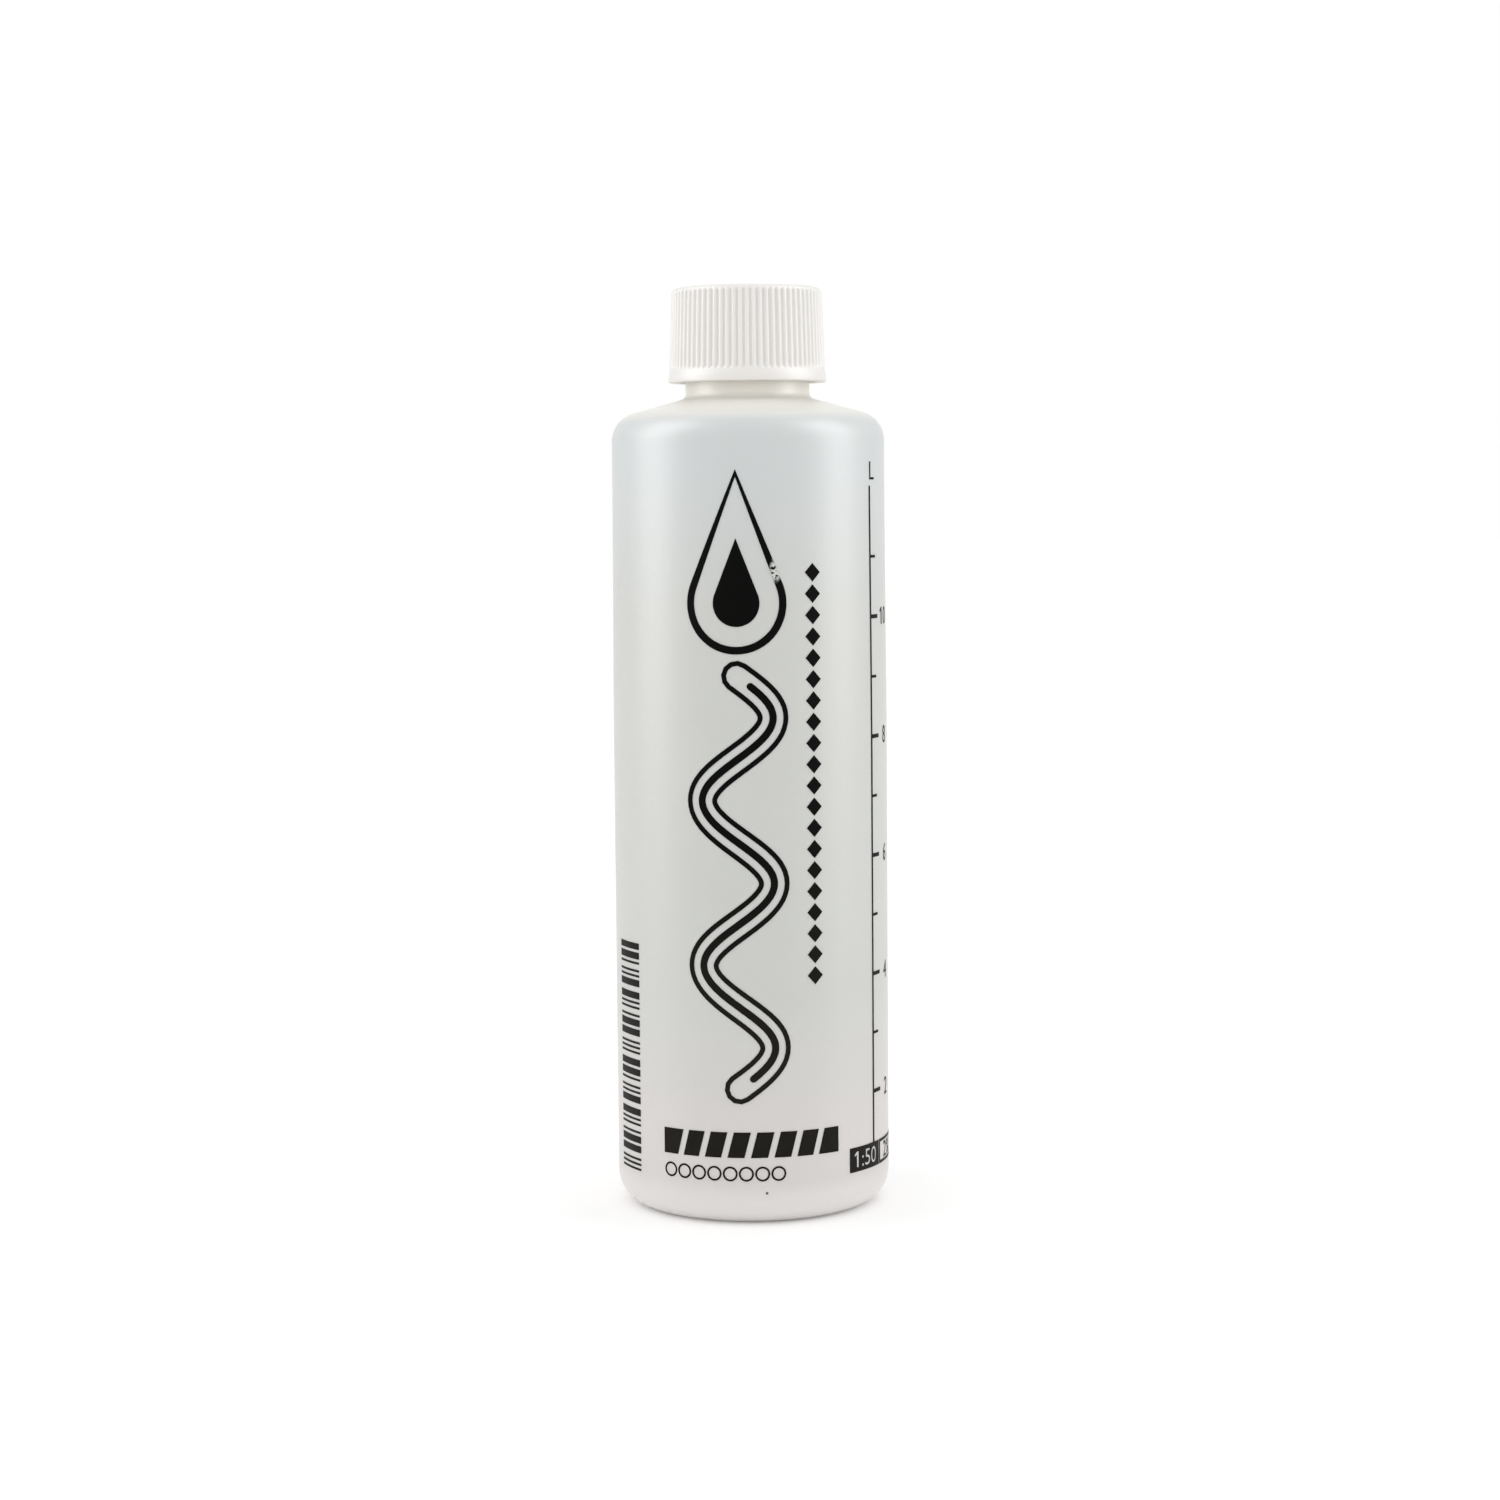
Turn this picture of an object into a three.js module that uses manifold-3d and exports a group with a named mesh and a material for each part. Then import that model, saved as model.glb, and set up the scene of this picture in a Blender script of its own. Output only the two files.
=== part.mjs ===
// Oil measuring bottle: a blow-moulded bottle with a printed filling scale, closed by a ribbed screw cap.
// Millimetres, +Z up. The origin is on the floor under the middle of the base, and the print's front faces -Y.
import * as THREE from "three";
import { mergeVertices } from "three/addons/utils/BufferGeometryUtils.js";
import Module from "manifold-3d";

const wasm = await Module();
wasm.setup();

// Bottle body
const bodyRadius = 25;
const bodyWall = 0.7;
const baseWall = 1.3;
const baseCorner = 5.5;
const standWidth = 1.6;
const pushUp = 1.8;
const pinchSeamLength = 24;
const pinchSeamWidth = 0.9;
const pinchSeamHeight = 0.4;
const bottleHeight = 165;
const shoulderSlope = THREE.MathUtils.degToRad(15.3);
const shoulderCorner = 5.2;

// Neck, and the thread that the neck and the cap share
const neckRadius = 11.25;
const neckWall = 1.8;
const neckHeight = 17.6;
const neckFillet = 0.8;
const lipRound = 0.4;
const threadPitch = 3.175;
const threadTurns = 1.5;
const threadHeight = 0.95;
const threadFoot = 1.5;
const threadCrest = 0.7;
const threadTopDrop = 2.4;
const threadRunOut = 30;
const threadTip = 0.1;
const threadSink = 0.3;
const threadPlay = 0.2;
const threadAxialPlay = 0.3;

// Screw cap, and the sealing disc in it
const capTopWall = 1.2;
const capGap = 2.8;
const capSkirtWallTop = 1.25;
const capSkirtWallFoot = 1.7;
const capBandWall = 1.95;
const capBandHeight = 1.3;
const capBandFlare = 0.9;
const capTopRound = 1.1;
const capEdge = 0.25;
const capThreadHeight = 0.8;
const ribCount = 72;
const ribGrooveWidth = 0.78;
const ribGrooveDepth = 0.42;
const linerThickness = 1;
const linerPlay = 0.45;
const linerBeadReach = 0.75;
const linerBeadHeight = 0.8;
const linerBeadDrop = 0.2;

// Ink film, and the plain lines and figures of the print
const inkGap = 0.05;
const inkThickness = 0.15;
const lineWidth = 0.55;
const figureWidth = 2.1;
const figureHeight = 3.2;
const figureWeight = 0.5;
const figureGap = 0.45;
const dotSize = 0.55;
const mitreLimit = 0.35;

// Filling scales. A mark of the first scale is the oil for so many litres of fuel at one part in fifty, so at
// the real bore it stands 20 ml over the one below. The second scale is for a mixture twice as rich.
const scaleZero = 0.4;
const scaleFirstMark = 2;
const scaleLastMark = 11;
const scaleRunOn = 1.17;
const scaleHeadroom = 7.4;
const scaleClearance = 7.1;
const unitGap = 1.1;
const majorTickLength = 3.05;
const minorTickLength = 2.15;
const majorTickWidth = 0.72;
const minorTickWidth = 0.5;
const figureInset = 6.5;
const scales = [
  { mix: "50", across: 26.45, side: 1, perMark: 1, ratio: ["1", "5", "split0"], percent: "2" },
  { mix: "25", across: 52.4, side: -1, perMark: 0.5, ratio: ["1", "2", "5"], percent: "4" },
];

// Mixing ratio at the foot of each scale, and the same as a percentage beside it
const ratioShift = 2.65;
const percentShift = 7.05;
const ratioWidth = 9.5;
const ratioHeight = 4.5;
const ratioFoot = 8.1;
const ratioFigureHeight = 3.1;
const ratioFigureWidth = 1.65;
const percentSignWidth = 2.6;

// Field of bars on the left
const barsAcross = -27.6;
const barsWidth = 7.6;
const barsFoot = 8;
const barsHeight = 41.6;
const barUnit = 0.42;
const barGap = 0.5;

// Drop above a poured wave, on the front
const motifAcross = -2.35;
const dropRadius = 8.3;
const dropLength = 31;
const dropHeadroom = 5.9;
const dropLine = 1.35;
const dropCoreShare = 0.5;
const waveFoot = 25;
const waveClearance = 4.5;
const waveHalves = 5;
const waveReach = 6.4;
const waveWidth = 4.6;
const waveLine = 0.9;
const waveCore = 1.3;

// Chain of diamonds beside the motif
const chainAcross = 11.6;
const chainFoot = 43;
const chainHeight = 75.2;
const chainPitch = 3.76;
const chainReach = 1.5;
const chainNeck = 0.2;

// Band with slanted gaps, and a chain of rings, under the motif
const bandAcross = -0.5;
const bandLength = 33.6;
const bandFoot = 12.6;
const bandHeight = 4.6;
const bandRail = 0.4;
const bandPitch = 4.2;
const bandGap = 1.15;
const bandSlant = 1.2;
const ringsAcross = -5.7;
const ringsLength = 23.2;
const ringRadius = 1.45;
const ringsHeight = 9.7;
const ringLine = 0.4;

// Fineness of the round forms
const bodySides = 48;
const cornerSteps = 4;
const threadStep = 15;
const ringSides = 10;
const waveSteps = 5;

// What the sizes above lead to
const shoulderTop = bottleHeight - neckHeight;
const shoulderTangent = bodyRadius - shoulderCorner * (1 - Math.sin(shoulderSlope));
const coneRise = (shoulderTangent - neckRadius) * Math.tan(shoulderSlope);
const sideTop = shoulderTop - coneRise - shoulderCorner * Math.cos(shoulderSlope);
const standRadius = bodyRadius - baseCorner;
const dishRadius = standRadius - standWidth;
const boreRadius = neckRadius - neckWall;
const threadCrestRadius = neckRadius + threadHeight;
const threadTop = bottleHeight - threadTopDrop;
const capInnerRadius = threadCrestRadius + threadPlay;
const capFoot = shoulderTop + capGap;
const capInsideTop = bottleHeight + linerThickness;
const capTop = capInsideTop + capTopWall;
const skirtFoot = capFoot + capBandHeight + capBandFlare;
const skirtFootRadius = capInnerRadius + capSkirtWallFoot;
const skirtTopRadius = capInnerRadius + capSkirtWallTop;
const linerRadius = capInnerRadius - linerPlay;
const capThreadTop = threadTop - (threadFoot + threadCrest) / 2 - threadAxialPlay;
const sleeveRadius = bodyRadius + inkGap;
const scaleTop = sideTop - scaleHeadroom;
const markStep = (scaleTop - scaleZero) / (scaleLastMark + scaleRunOn);
const scaleFoot = baseCorner + scaleClearance;
const dropPoint = sideTop - dropHeadroom;
const dropCentre = dropPoint - dropLength + dropRadius;
const waveTop = dropPoint - dropLength - waveClearance;

const naturalPlastic = new THREE.MeshStandardMaterial({ color: 0xdcdedd, roughness: 0.42, metalness: 0 });
const whitePlastic = new THREE.MeshStandardMaterial({ color: 0xf3f0eb, roughness: 0.38, metalness: 0 });
const linerFoam = new THREE.MeshStandardMaterial({ color: 0xf6f6f3, roughness: 0.8, metalness: 0 });
const blackInk = new THREE.MeshStandardMaterial({ color: 0x171614, roughness: 0.45, metalness: 0 });

// A closed geometry as a solid that can be joined and cut.
function solidFrom(geometry) {
  const bare = geometry.clone();
  bare.deleteAttribute("normal");
  bare.deleteAttribute("uv");
  const merged = mergeVertices(bare);
  const index = merged.index.array;
  const corners = [];
  for (let i = 0; i < index.length; i += 3) {
    const [a, b, c] = [index[i], index[i + 1], index[i + 2]];
    if (a !== b && b !== c && c !== a) corners.push(a, b, c);
  }
  const vertProperties = merged.attributes.position.array;
  const triVerts = new Uint32Array(corners);
  return new wasm.Manifold(new wasm.Mesh({ numProp: 3, vertProperties, triVerts }));
}

// A solid as a named mesh.
function meshOf(name, solid, material) {
  const { vertProperties, triVerts } = solid.getMesh();
  const geometry = new THREE.BufferGeometry();
  geometry.setAttribute("position", new THREE.BufferAttribute(vertProperties, 3));
  geometry.setIndex(new THREE.BufferAttribute(triVerts, 1));
  const flat = geometry.toNonIndexed();
  flat.computeVertexNormals();
  const mesh = new THREE.Mesh(flat, material);
  mesh.name = name;
  return mesh;
}

// A profile of [radius, height] points turned round the Z axis.
function turned(profile, sides) {
  const points = profile.map(([radius, height]) => new THREE.Vector2(radius, height));
  return solidFrom(new THREE.LatheGeometry(points, sides).rotateX(Math.PI / 2));
}

// Points on an ellipse's arc, from one angle in degrees to another.
function arc(x, y, radiusX, radiusY, from, to, steps) {
  const points = [];
  for (let i = 0; i <= steps; i++) {
    const angle = THREE.MathUtils.degToRad(from + ((to - from) * i) / steps);
    points.push([x + radiusX * Math.cos(angle), y + radiusY * Math.sin(angle)]);
  }
  return points;
}

// Height of the dished base's underside at a radius.
function dishHeight(radius) {
  return pushUp * (1 - (radius / dishRadius) ** 2);
}

// The base from its middle to the contact ring, at a height above the underside.
function dishPoints(rise) {
  const radii = [0, dishRadius * 0.45, dishRadius * 0.8, dishRadius];
  return radii.map((radius) => [radius, dishHeight(radius) + rise]);
}

// The body's lower corner and its shoulder, inset by a wall, from the base up.
function bodyPoints(wall) {
  const slope = THREE.MathUtils.radToDeg(shoulderSlope);
  const low = baseCorner - wall;
  const high = shoulderCorner - wall;
  return [
    ...arc(standRadius, baseCorner, low, low, -90, 0, cornerSteps),
    ...arc(bodyRadius - shoulderCorner, sideTop, high, high, 0, 90 - slope, cornerSteps),
  ];
}

function bottleShell() {
  const innerTop = shoulderTop + neckWall * Math.tan(shoulderSlope) - bodyWall / Math.cos(shoulderSlope);
  const profile = [
    ...dishPoints(0),
    ...bodyPoints(0),
    [neckRadius + neckFillet, shoulderTop - neckFillet * Math.tan(shoulderSlope)],
    [neckRadius, shoulderTop + neckFillet],
    [neckRadius, bottleHeight - lipRound],
    [neckRadius - lipRound, bottleHeight],
    [boreRadius + lipRound, bottleHeight],
    [boreRadius, bottleHeight - lipRound],
    [boreRadius, innerTop],
    ...bodyPoints(bodyWall).reverse(),
    ...dishPoints(baseWall).reverse(),
  ];
  return turned(profile, bodySides);
}

// A helical ridge that runs out at both ends. Its foot is sunk a little into the wall that carries it.
function threadRidge(footRadius, crestRadius, topEnd) {
  const rise = crestRadius - footRadius;
  const sunkFoot = footRadius - Math.sign(rise) * threadSink;
  const sweep = threadTurns * 360;
  const steps = Math.round(sweep / threadStep);
  const positions = [];
  for (let i = 0; i <= steps; i++) {
    const degrees = (sweep * i) / steps;
    const fromEnd = Math.min(degrees, sweep - degrees);
    const crest = footRadius + rise * Math.min(1, threadTip + fromEnd / threadRunOut);
    const angle = THREE.MathUtils.degToRad(degrees);
    const height = topEnd - (threadPitch * (sweep - degrees)) / 360;
    const section = [
      [sunkFoot, -threadFoot / 2],
      [crest, -threadCrest / 2],
      [crest, threadCrest / 2],
      [sunkFoot, threadFoot / 2],
    ];
    for (const [radius, up] of section) {
      positions.push(radius * Math.cos(angle), radius * Math.sin(angle), height + up);
    }
  }
  const last = steps * 4;
  const index = [0, 1, 2, 0, 2, 3, last, last + 2, last + 1, last, last + 3, last + 2];
  for (let i = 0; i < last; i += 4) {
    for (let side = 0; side < 4; side++) {
      const next = (side + 1) % 4;
      index.push(i + side, i + 4 + side, i + 4 + next, i + side, i + 4 + next, i + next);
    }
  }
  if (rise < 0) index.reverse();
  const geometry = new THREE.BufferGeometry();
  geometry.setAttribute("position", new THREE.Float32BufferAttribute(positions, 3));
  geometry.setIndex(index);
  return solidFrom(geometry);
}

// The raised line across the dished base where the mould pinches the tube shut.
function pinchSeam() {
  const steps = 8;
  const under = [];
  const inside = [];
  for (let i = 0; i <= steps; i++) {
    const x = pinchSeamLength * (i / steps - 0.5);
    under.push(new THREE.Vector2(x, dishHeight(x) - pinchSeamHeight));
    inside.unshift(new THREE.Vector2(x, dishHeight(x) + baseWall / 2));
  }
  const outline = new THREE.Shape([...under, ...inside]);
  const seam = new THREE.ExtrudeGeometry(outline, { depth: pinchSeamWidth, bevelEnabled: false });
  return solidFrom(seam.rotateX(Math.PI / 2).translate(0, pinchSeamWidth / 2, 0));
}

function bottle() {
  const thread = threadRidge(neckRadius, threadCrestRadius, threadTop);
  return meshOf("bottle", bottleShell().add(thread).add(pinchSeam()), naturalPlastic);
}

// The cap without its grooves and thread. A bead inside keeps the liner in.
function capShell() {
  const band = capInnerRadius + capBandWall;
  const bead = bottleHeight - linerBeadDrop;
  const profile = [
    [0, capInsideTop],
    [capInnerRadius, capInsideTop],
    [capInnerRadius, bead],
    [capInnerRadius - linerBeadReach, bead - linerBeadHeight / 2],
    [capInnerRadius, bead - linerBeadHeight],
    [capInnerRadius, capFoot + capEdge],
    [capInnerRadius + capEdge, capFoot],
    [band - capEdge, capFoot],
    [band, capFoot + capEdge],
    [band, capFoot + capBandHeight],
    [skirtFootRadius, skirtFoot],
    ...arc(skirtTopRadius - capTopRound, capTop - capTopRound, capTopRound, capTopRound, 0, 90, 3),
    [0, capTop],
  ];
  return turned(profile, ribCount / 2);
}

// The grip's grooves, from the band up into the rounded top edge. Two of them share each side of the cap.
function gripGrooves() {
  const taper = Math.atan2(skirtFootRadius - skirtTopRadius, capTop - capTopRound - skirtFoot);
  const height = capTop - capTopRound / 2 - skirtFoot;
  const section = new THREE.Shape([
    new THREE.Vector2(-ribGrooveDepth, 0),
    new THREE.Vector2(ribGrooveDepth, -ribGrooveWidth),
    new THREE.Vector2(ribGrooveDepth, ribGrooveWidth),
  ]);
  const groove = new THREE.ExtrudeGeometry(section, { depth: height, bevelEnabled: false });
  groove.rotateY(-taper).translate(skirtFootRadius, 0, skirtFoot);
  const grooves = [];
  for (let i = 0; i < ribCount; i++) {
    grooves.push(solidFrom(groove.clone().rotateZ((2 * Math.PI * (i + 0.5)) / ribCount)));
  }
  return wasm.Manifold.union(grooves);
}

function screwCap() {
  const thread = threadRidge(capInnerRadius, capInnerRadius - capThreadHeight, capThreadTop);
  return meshOf("screw_cap", capShell().subtract(gripGrooves()).add(thread), whitePlastic);
}

function capLiner() {
  const profile = [
    [0, bottleHeight],
    [linerRadius, bottleHeight],
    [linerRadius, capInsideTop],
    [0, capInsideTop],
  ];
  return meshOf("cap_liner", turned(profile, bodySides), linerFoam);
}

// The thin sleeve round the straight wall that all ink is cut from.
function inkSleeve() {
  const outer = sleeveRadius + inkThickness;
  const profile = [
    [sleeveRadius, baseCorner],
    [outer, baseCorner],
    [outer, sideTop],
    [sleeveRadius, sideTop],
    [sleeveRadius, baseCorner],
  ];
  return turned(profile, bodySides);
}

const sleeve = inkSleeve();

// A field of ink as a prism in front of the bottle, from points [across, up] on the unrolled wall.
function field(points) {
  const corners = points.map(([x, y]) => new THREE.Vector2(bodyRadius * Math.sin(x / bodyRadius), y));
  const outline = new THREE.Shape(corners);
  const prism = new THREE.ExtrudeGeometry(outline, { depth: bodyRadius, bevelEnabled: false });
  return solidFrom(prism.translate(0, 0, bodyRadius / 3));
}

// A prism turned to its place across the unrolled wall and cut to a film of ink.
function ink(name, prism, across) {
  const turn = new THREE.Matrix4().makeRotationZ(across / bodyRadius);
  const stand = new THREE.Matrix4().makeRotationX(Math.PI / 2);
  const placed = prism.transform(turn.multiply(stand).elements);
  return meshOf(name, placed.intersect(sleeve), blackInk);
}

// The left and right edges of a stroke along a line of points, with mitred corners.
function strokeEdges(points, width, closed) {
  const left = [];
  const right = [];
  const count = points.length;
  points.forEach(([x, y], i) => {
    const before = points[i > 0 ? i - 1 : closed ? count - 1 : 0];
    const after = points[i < count - 1 ? i + 1 : closed ? 0 : i];
    const arriving = new THREE.Vector2(x - before[0], y - before[1]).normalize();
    const leaving = new THREE.Vector2(after[0] - x, after[1] - y).normalize();
    const along = arriving.clone().add(leaving).normalize();
    const spread = Math.max(along.dot(arriving), along.dot(leaving), mitreLimit);
    const reach = width / 2 / spread;
    left.push([x - along.y * reach, y + along.x * reach]);
    right.push([x + along.y * reach, y - along.x * reach]);
  });
  return [left, right];
}

// A stroke of ink as a prism. A closed one runs anticlockwise.
function stroke(points, width, closed = false) {
  const [left, right] = strokeEdges(points, width, closed);
  return closed ? field(right).subtract(field(left)) : field([...right, ...left.reverse()]);
}

function rectangle(left, bottom, width, height) {
  return [
    [left, bottom],
    [left + width, bottom],
    [left + width, bottom + height],
    [left, bottom + height],
  ];
}

// Plain figures as strokes in a cell one unit wide and one high.
const figures = {
  0: [{ closed: true, points: arc(0.5, 0.5, 0.42, 0.5, 0, 330, 11) }],
  1: [{ points: [[0.22, 0.76], [0.6, 0.98], [0.6, 0]] }],
  2: [
    { points: [...arc(0.5, 0.71, 0.4, 0.29, 165, -35, 6), [0.1, 0.02]] },
    { points: [[0.02, 0], [0.94, 0]] },
  ],
  3: [
    { points: arc(0.46, 0.76, 0.38, 0.24, 150, -90, 6) },
    { points: arc(0.46, 0.26, 0.44, 0.26, 90, -150, 6) },
  ],
  4: [
    { points: [[0.7, 0], [0.7, 1]] },
    { points: [[0.68, 0.97], [0.06, 0.3]] },
    { points: [[0, 0.27], [1, 0.27]] },
  ],
  5: [
    { points: [[0.88, 1], [0.2, 1], [0.12, 0.5]] },
    { points: arc(0.46, 0.31, 0.44, 0.31, 135, -150, 7) },
  ],
  6: [
    { closed: true, points: arc(0.5, 0.3, 0.42, 0.3, 0, 324, 9) },
    { points: arc(0.95, 0.32, 0.87, 0.66, 105, 180, 4) },
  ],
  7: [{ points: [[0.04, 1], [0.92, 1], [0.36, 0]] }],
  8: [
    { closed: true, points: arc(0.5, 0.76, 0.36, 0.24, 0, 315, 7) },
    { closed: true, points: arc(0.5, 0.26, 0.44, 0.27, 0, 315, 7) },
  ],
  9: [
    { closed: true, points: arc(0.5, 0.7, 0.42, 0.3, 0, 324, 9) },
    { points: arc(0.05, 0.68, 0.87, 0.66, -75, 0, 4) },
  ],
  L: [{ points: [[0, 1], [0, 0], [0.95, 0]] }],
  // The percent sign, one body at a time.
  upperRing: [{ closed: true, points: arc(0.16, 0.8, 0.16, 0.2, 0, 315, 7) }],
  slash: [{ points: [[0.25, 0], [0.75, 1]] }],
  lowerRing: [{ closed: true, points: arc(0.84, 0.2, 0.16, 0.2, 0, 315, 7) }],
  // A nought in two halves, so that a field of ink that it is cut from stays one piece.
  split0: [
    { points: arc(0.5, 0.5, 0.42, 0.5, 110, 250, 6) },
    { points: arc(0.5, 0.5, 0.42, 0.5, 70, -70, 6) },
  ],
};

// A figure as a prism, with its cell's lower left corner at a place on the unrolled wall.
function figure(sign, left, bottom, width, height) {
  const place = ([x, y]) => [left + x * width, bottom + figureWeight / 2 + y * (height - figureWeight)];
  const strokes = figures[sign].map(({ points, closed }) => stroke(points.map(place), figureWeight, closed));
  return wasm.Manifold.union(strokes);
}

// The marks of a scale, as [number, height] pairs.
function scaleMarks() {
  const marks = [];
  for (let mark = scaleFirstMark; mark <= scaleLastMark; mark++) {
    marks.push([mark, scaleZero + mark * markStep]);
  }
  return marks;
}

// A scale's upright line with its ticks, every second one longer.
function scaleLine({ mix, across, side }) {
  const strokes = [field(rectangle(-lineWidth / 2, scaleFoot, lineWidth, scaleTop - scaleFoot))];
  for (const [mark, height] of scaleMarks()) {
    const major = mark % 2 === 0;
    const length = major ? majorTickLength : minorTickLength;
    const width = major ? majorTickWidth : minorTickWidth;
    strokes.push(field(rectangle(Math.min(0, side * length), height - width / 2, length, width)));
  }
  return ink(`scale_${mix}_line`, wasm.Manifold.union(strokes), across);
}

// A scale's figures beside its longer ticks, one mesh for each digit.
function scaleFigures({ mix, across, side, perMark }) {
  const pitch = figureWidth + figureGap;
  return scaleMarks()
    .filter(([mark]) => mark % 2 === 0)
    .flatMap(([mark, height]) => {
      const digits = [...String(mark * perMark)];
      return digits.map((digit, i) => {
        const left = (i - digits.length / 2) * pitch + figureGap / 2;
        const prism = figure(digit, left, height - figureHeight / 2, figureWidth, figureHeight);
        return ink(`scale_${mix}_figure_${digits.join("")}_${i + 1}`, prism, across + side * figureInset);
      });
    });
}

// The sign for litres over a scale's head.
function scaleUnit({ mix, across, side }) {
  const left = side > 0 ? 0 : -figureWidth;
  const prism = figure("L", left, scaleTop + unitGap, figureWidth, figureHeight);
  return ink(`scale_${mix}_unit`, prism, across);
}

// The signs of a ratio: a digit, the colon's two dots, and two digits.
function ratioSigns([first, second, third]) {
  const bottom = ratioFoot + (ratioHeight - ratioFigureHeight) / 2;
  const pitch = ratioFigureWidth + figureGap;
  const colon = 2 * dotSize;
  const left = -(3 * pitch - figureGap + colon) / 2;
  const digit = (sign, x) => figure(sign, x, bottom, ratioFigureWidth, ratioFigureHeight);
  const dot = (y) => field(rectangle(left + pitch + dotSize / 4, y, dotSize, dotSize));
  return [
    digit(first, left),
    dot(bottom + dotSize),
    dot(bottom + ratioFigureHeight - 2 * dotSize),
    digit(second, left + pitch + colon),
    digit(third, left + 2 * pitch + colon),
  ];
}

// The signs of a percentage: a digit, and the two rings and the slash of the percent sign.
function percentSigns(digit) {
  const bottom = ratioFoot + (ratioHeight - ratioFigureHeight) / 2;
  const left = -(ratioFigureWidth + figureGap + percentSignWidth) / 2;
  const sign = (name, x, width) => figure(name, x, bottom, width, ratioFigureHeight);
  const signLeft = left + ratioFigureWidth + figureGap;
  return [
    sign(digit, left, ratioFigureWidth),
    ...["upperRing", "slash", "lowerRing"].map((name) => sign(name, signLeft, percentSignWidth)),
  ];
}

function ratioField(inset) {
  const [width, height] = [ratioWidth - 2 * inset, ratioHeight - 2 * inset];
  return field(rectangle(-width / 2, ratioFoot + inset, width, height));
}

// A scale's ratio: a solid field with its signs left clear.
function ratioLabel({ mix, across, side, ratio }) {
  const prism = ratioSigns(ratio).reduce((rest, sign) => rest.subtract(sign), ratioField(0));
  return ink(`ratio_${mix}`, prism, across - side * ratioShift);
}

// A scale's percentage: an outlined field with its signs in ink.
function percentLabel({ mix, across, side, percent }) {
  const middle = across + side * percentShift;
  const frame = ink(`percent_${mix}_frame`, ratioField(0).subtract(ratioField(lineWidth)), middle);
  const signs = percentSigns(percent).map((sign, i) => ink(`percent_${mix}_sign_${i + 1}`, sign, middle));
  return [frame, ...signs];
}

// A whole scale with its figures and labels.
function scale(setting) {
  return [
    scaleLine(setting),
    ...scaleFigures(setting),
    scaleUnit(setting),
    ratioLabel(setting),
    ...percentLabel(setting),
  ];
}

// Thin and thick bars in a plain repeating rhythm, joined by a spine at their left ends.
function barField() {
  const left = -barsWidth / 2;
  const strokes = [field(rectangle(left, barsFoot, lineWidth, barsHeight))];
  for (let up = 0, i = 0; up < barsHeight - barGap; i++) {
    const thickness = Math.min(barUnit * (i % 5 > 2 ? 3 : 1), barsHeight - up);
    strokes.push(field(rectangle(left, barsFoot + up, barsWidth, thickness)));
    up += thickness + barGap * (i % 3 > 1 ? 2 : 1);
  }
  return ink("bar_field", wasm.Manifold.union(strokes), barsAcross);
}

// A drop's outline, anticlockwise from its point, with sides that touch its round belly.
function dropPoints(radius, centre, point) {
  const spread = THREE.MathUtils.radToDeg(Math.acos(radius / (point - centre)));
  return [[0, point], ...arc(0, centre, radius, radius, 90 + spread, 450 - spread, 14)];
}

function dropOutline() {
  const line = stroke(dropPoints(dropRadius, dropCentre, dropPoint), dropLine, true);
  return ink("drop_outline", line, motifAcross);
}

function dropCore() {
  const point = dropCentre + (dropPoint - dropCentre) * dropCoreShare;
  const core = field(dropPoints(dropRadius * dropCoreShare, dropCentre, point));
  return ink("drop_core", core, motifAcross);
}

// The wave's middle line, left out for a length at both ends.
function wavePoints(inset) {
  const steps = waveHalves * waveSteps;
  const points = [];
  for (let i = 0; i <= steps; i++) {
    const up = inset + ((waveTop - waveFoot - 2 * inset) * i) / steps;
    const phase = (Math.PI * waveHalves * up) / (waveTop - waveFoot);
    points.push([waveReach * Math.sin(phase), waveFoot + up]);
  }
  return points;
}

function waveOutline() {
  const [left, right] = strokeEdges(wavePoints(0), waveWidth, false);
  return ink("wave_outline", stroke([...right, ...left.reverse()], waveLine, true), motifAcross);
}

function waveCoreLine() {
  return ink("wave_core", stroke(wavePoints(2 * waveLine), waveCore), motifAcross);
}

function diamondChain() {
  const count = Math.round(chainHeight / chainPitch);
  const right = [];
  for (let i = 0; i < count; i++) {
    const foot = chainFoot + i * chainPitch;
    right.push([chainNeck, foot], [chainReach, foot + chainPitch / 2]);
  }
  right.push([chainNeck, chainFoot + count * chainPitch]);
  const left = right.map(([across, up]) => [-across, up]).reverse();
  return ink("diamond_chain", field([...right, ...left]), chainAcross);
}

function slantedBand() {
  const left = -bandLength / 2;
  const [low, high] = [bandFoot + bandRail, bandFoot + bandHeight - bandRail];
  let band = field(rectangle(left, bandFoot, bandLength, bandHeight));
  for (let x = left + bandPitch; x < -left - bandPitch / 2; x += bandPitch) {
    const [foot, head] = [x - (bandGap + bandSlant) / 2, x - (bandGap - bandSlant) / 2];
    const gap = [[foot, low], [foot + bandGap, low], [head + bandGap, high], [head, high]];
    band = band.subtract(field(gap));
  }
  return ink("slanted_band", band, bandAcross);
}

function ringChain() {
  const pitch = 2 * ringRadius;
  const count = Math.round(ringsLength / pitch);
  const rings = [];
  for (let i = 0; i < count; i++) {
    const across = (i - (count - 1) / 2) * pitch;
    const points = arc(across, ringsHeight, ringRadius, ringRadius, 0, 360 - 360 / ringSides, ringSides - 1);
    rings.push(stroke(points, ringLine, true));
  }
  return ink("ring_chain", wasm.Manifold.union(rings), ringsAcross);
}

const print = new THREE.Group();
print.add(
  ...scales.flatMap(scale),
  barField(),
  dropOutline(),
  dropCore(),
  waveOutline(),
  waveCoreLine(),
  diamondChain(),
  slantedBand(),
  ringChain(),
);

const part = new THREE.Group();
part.add(bottle(), print, capLiner(), screwCap());

export default part;
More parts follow.
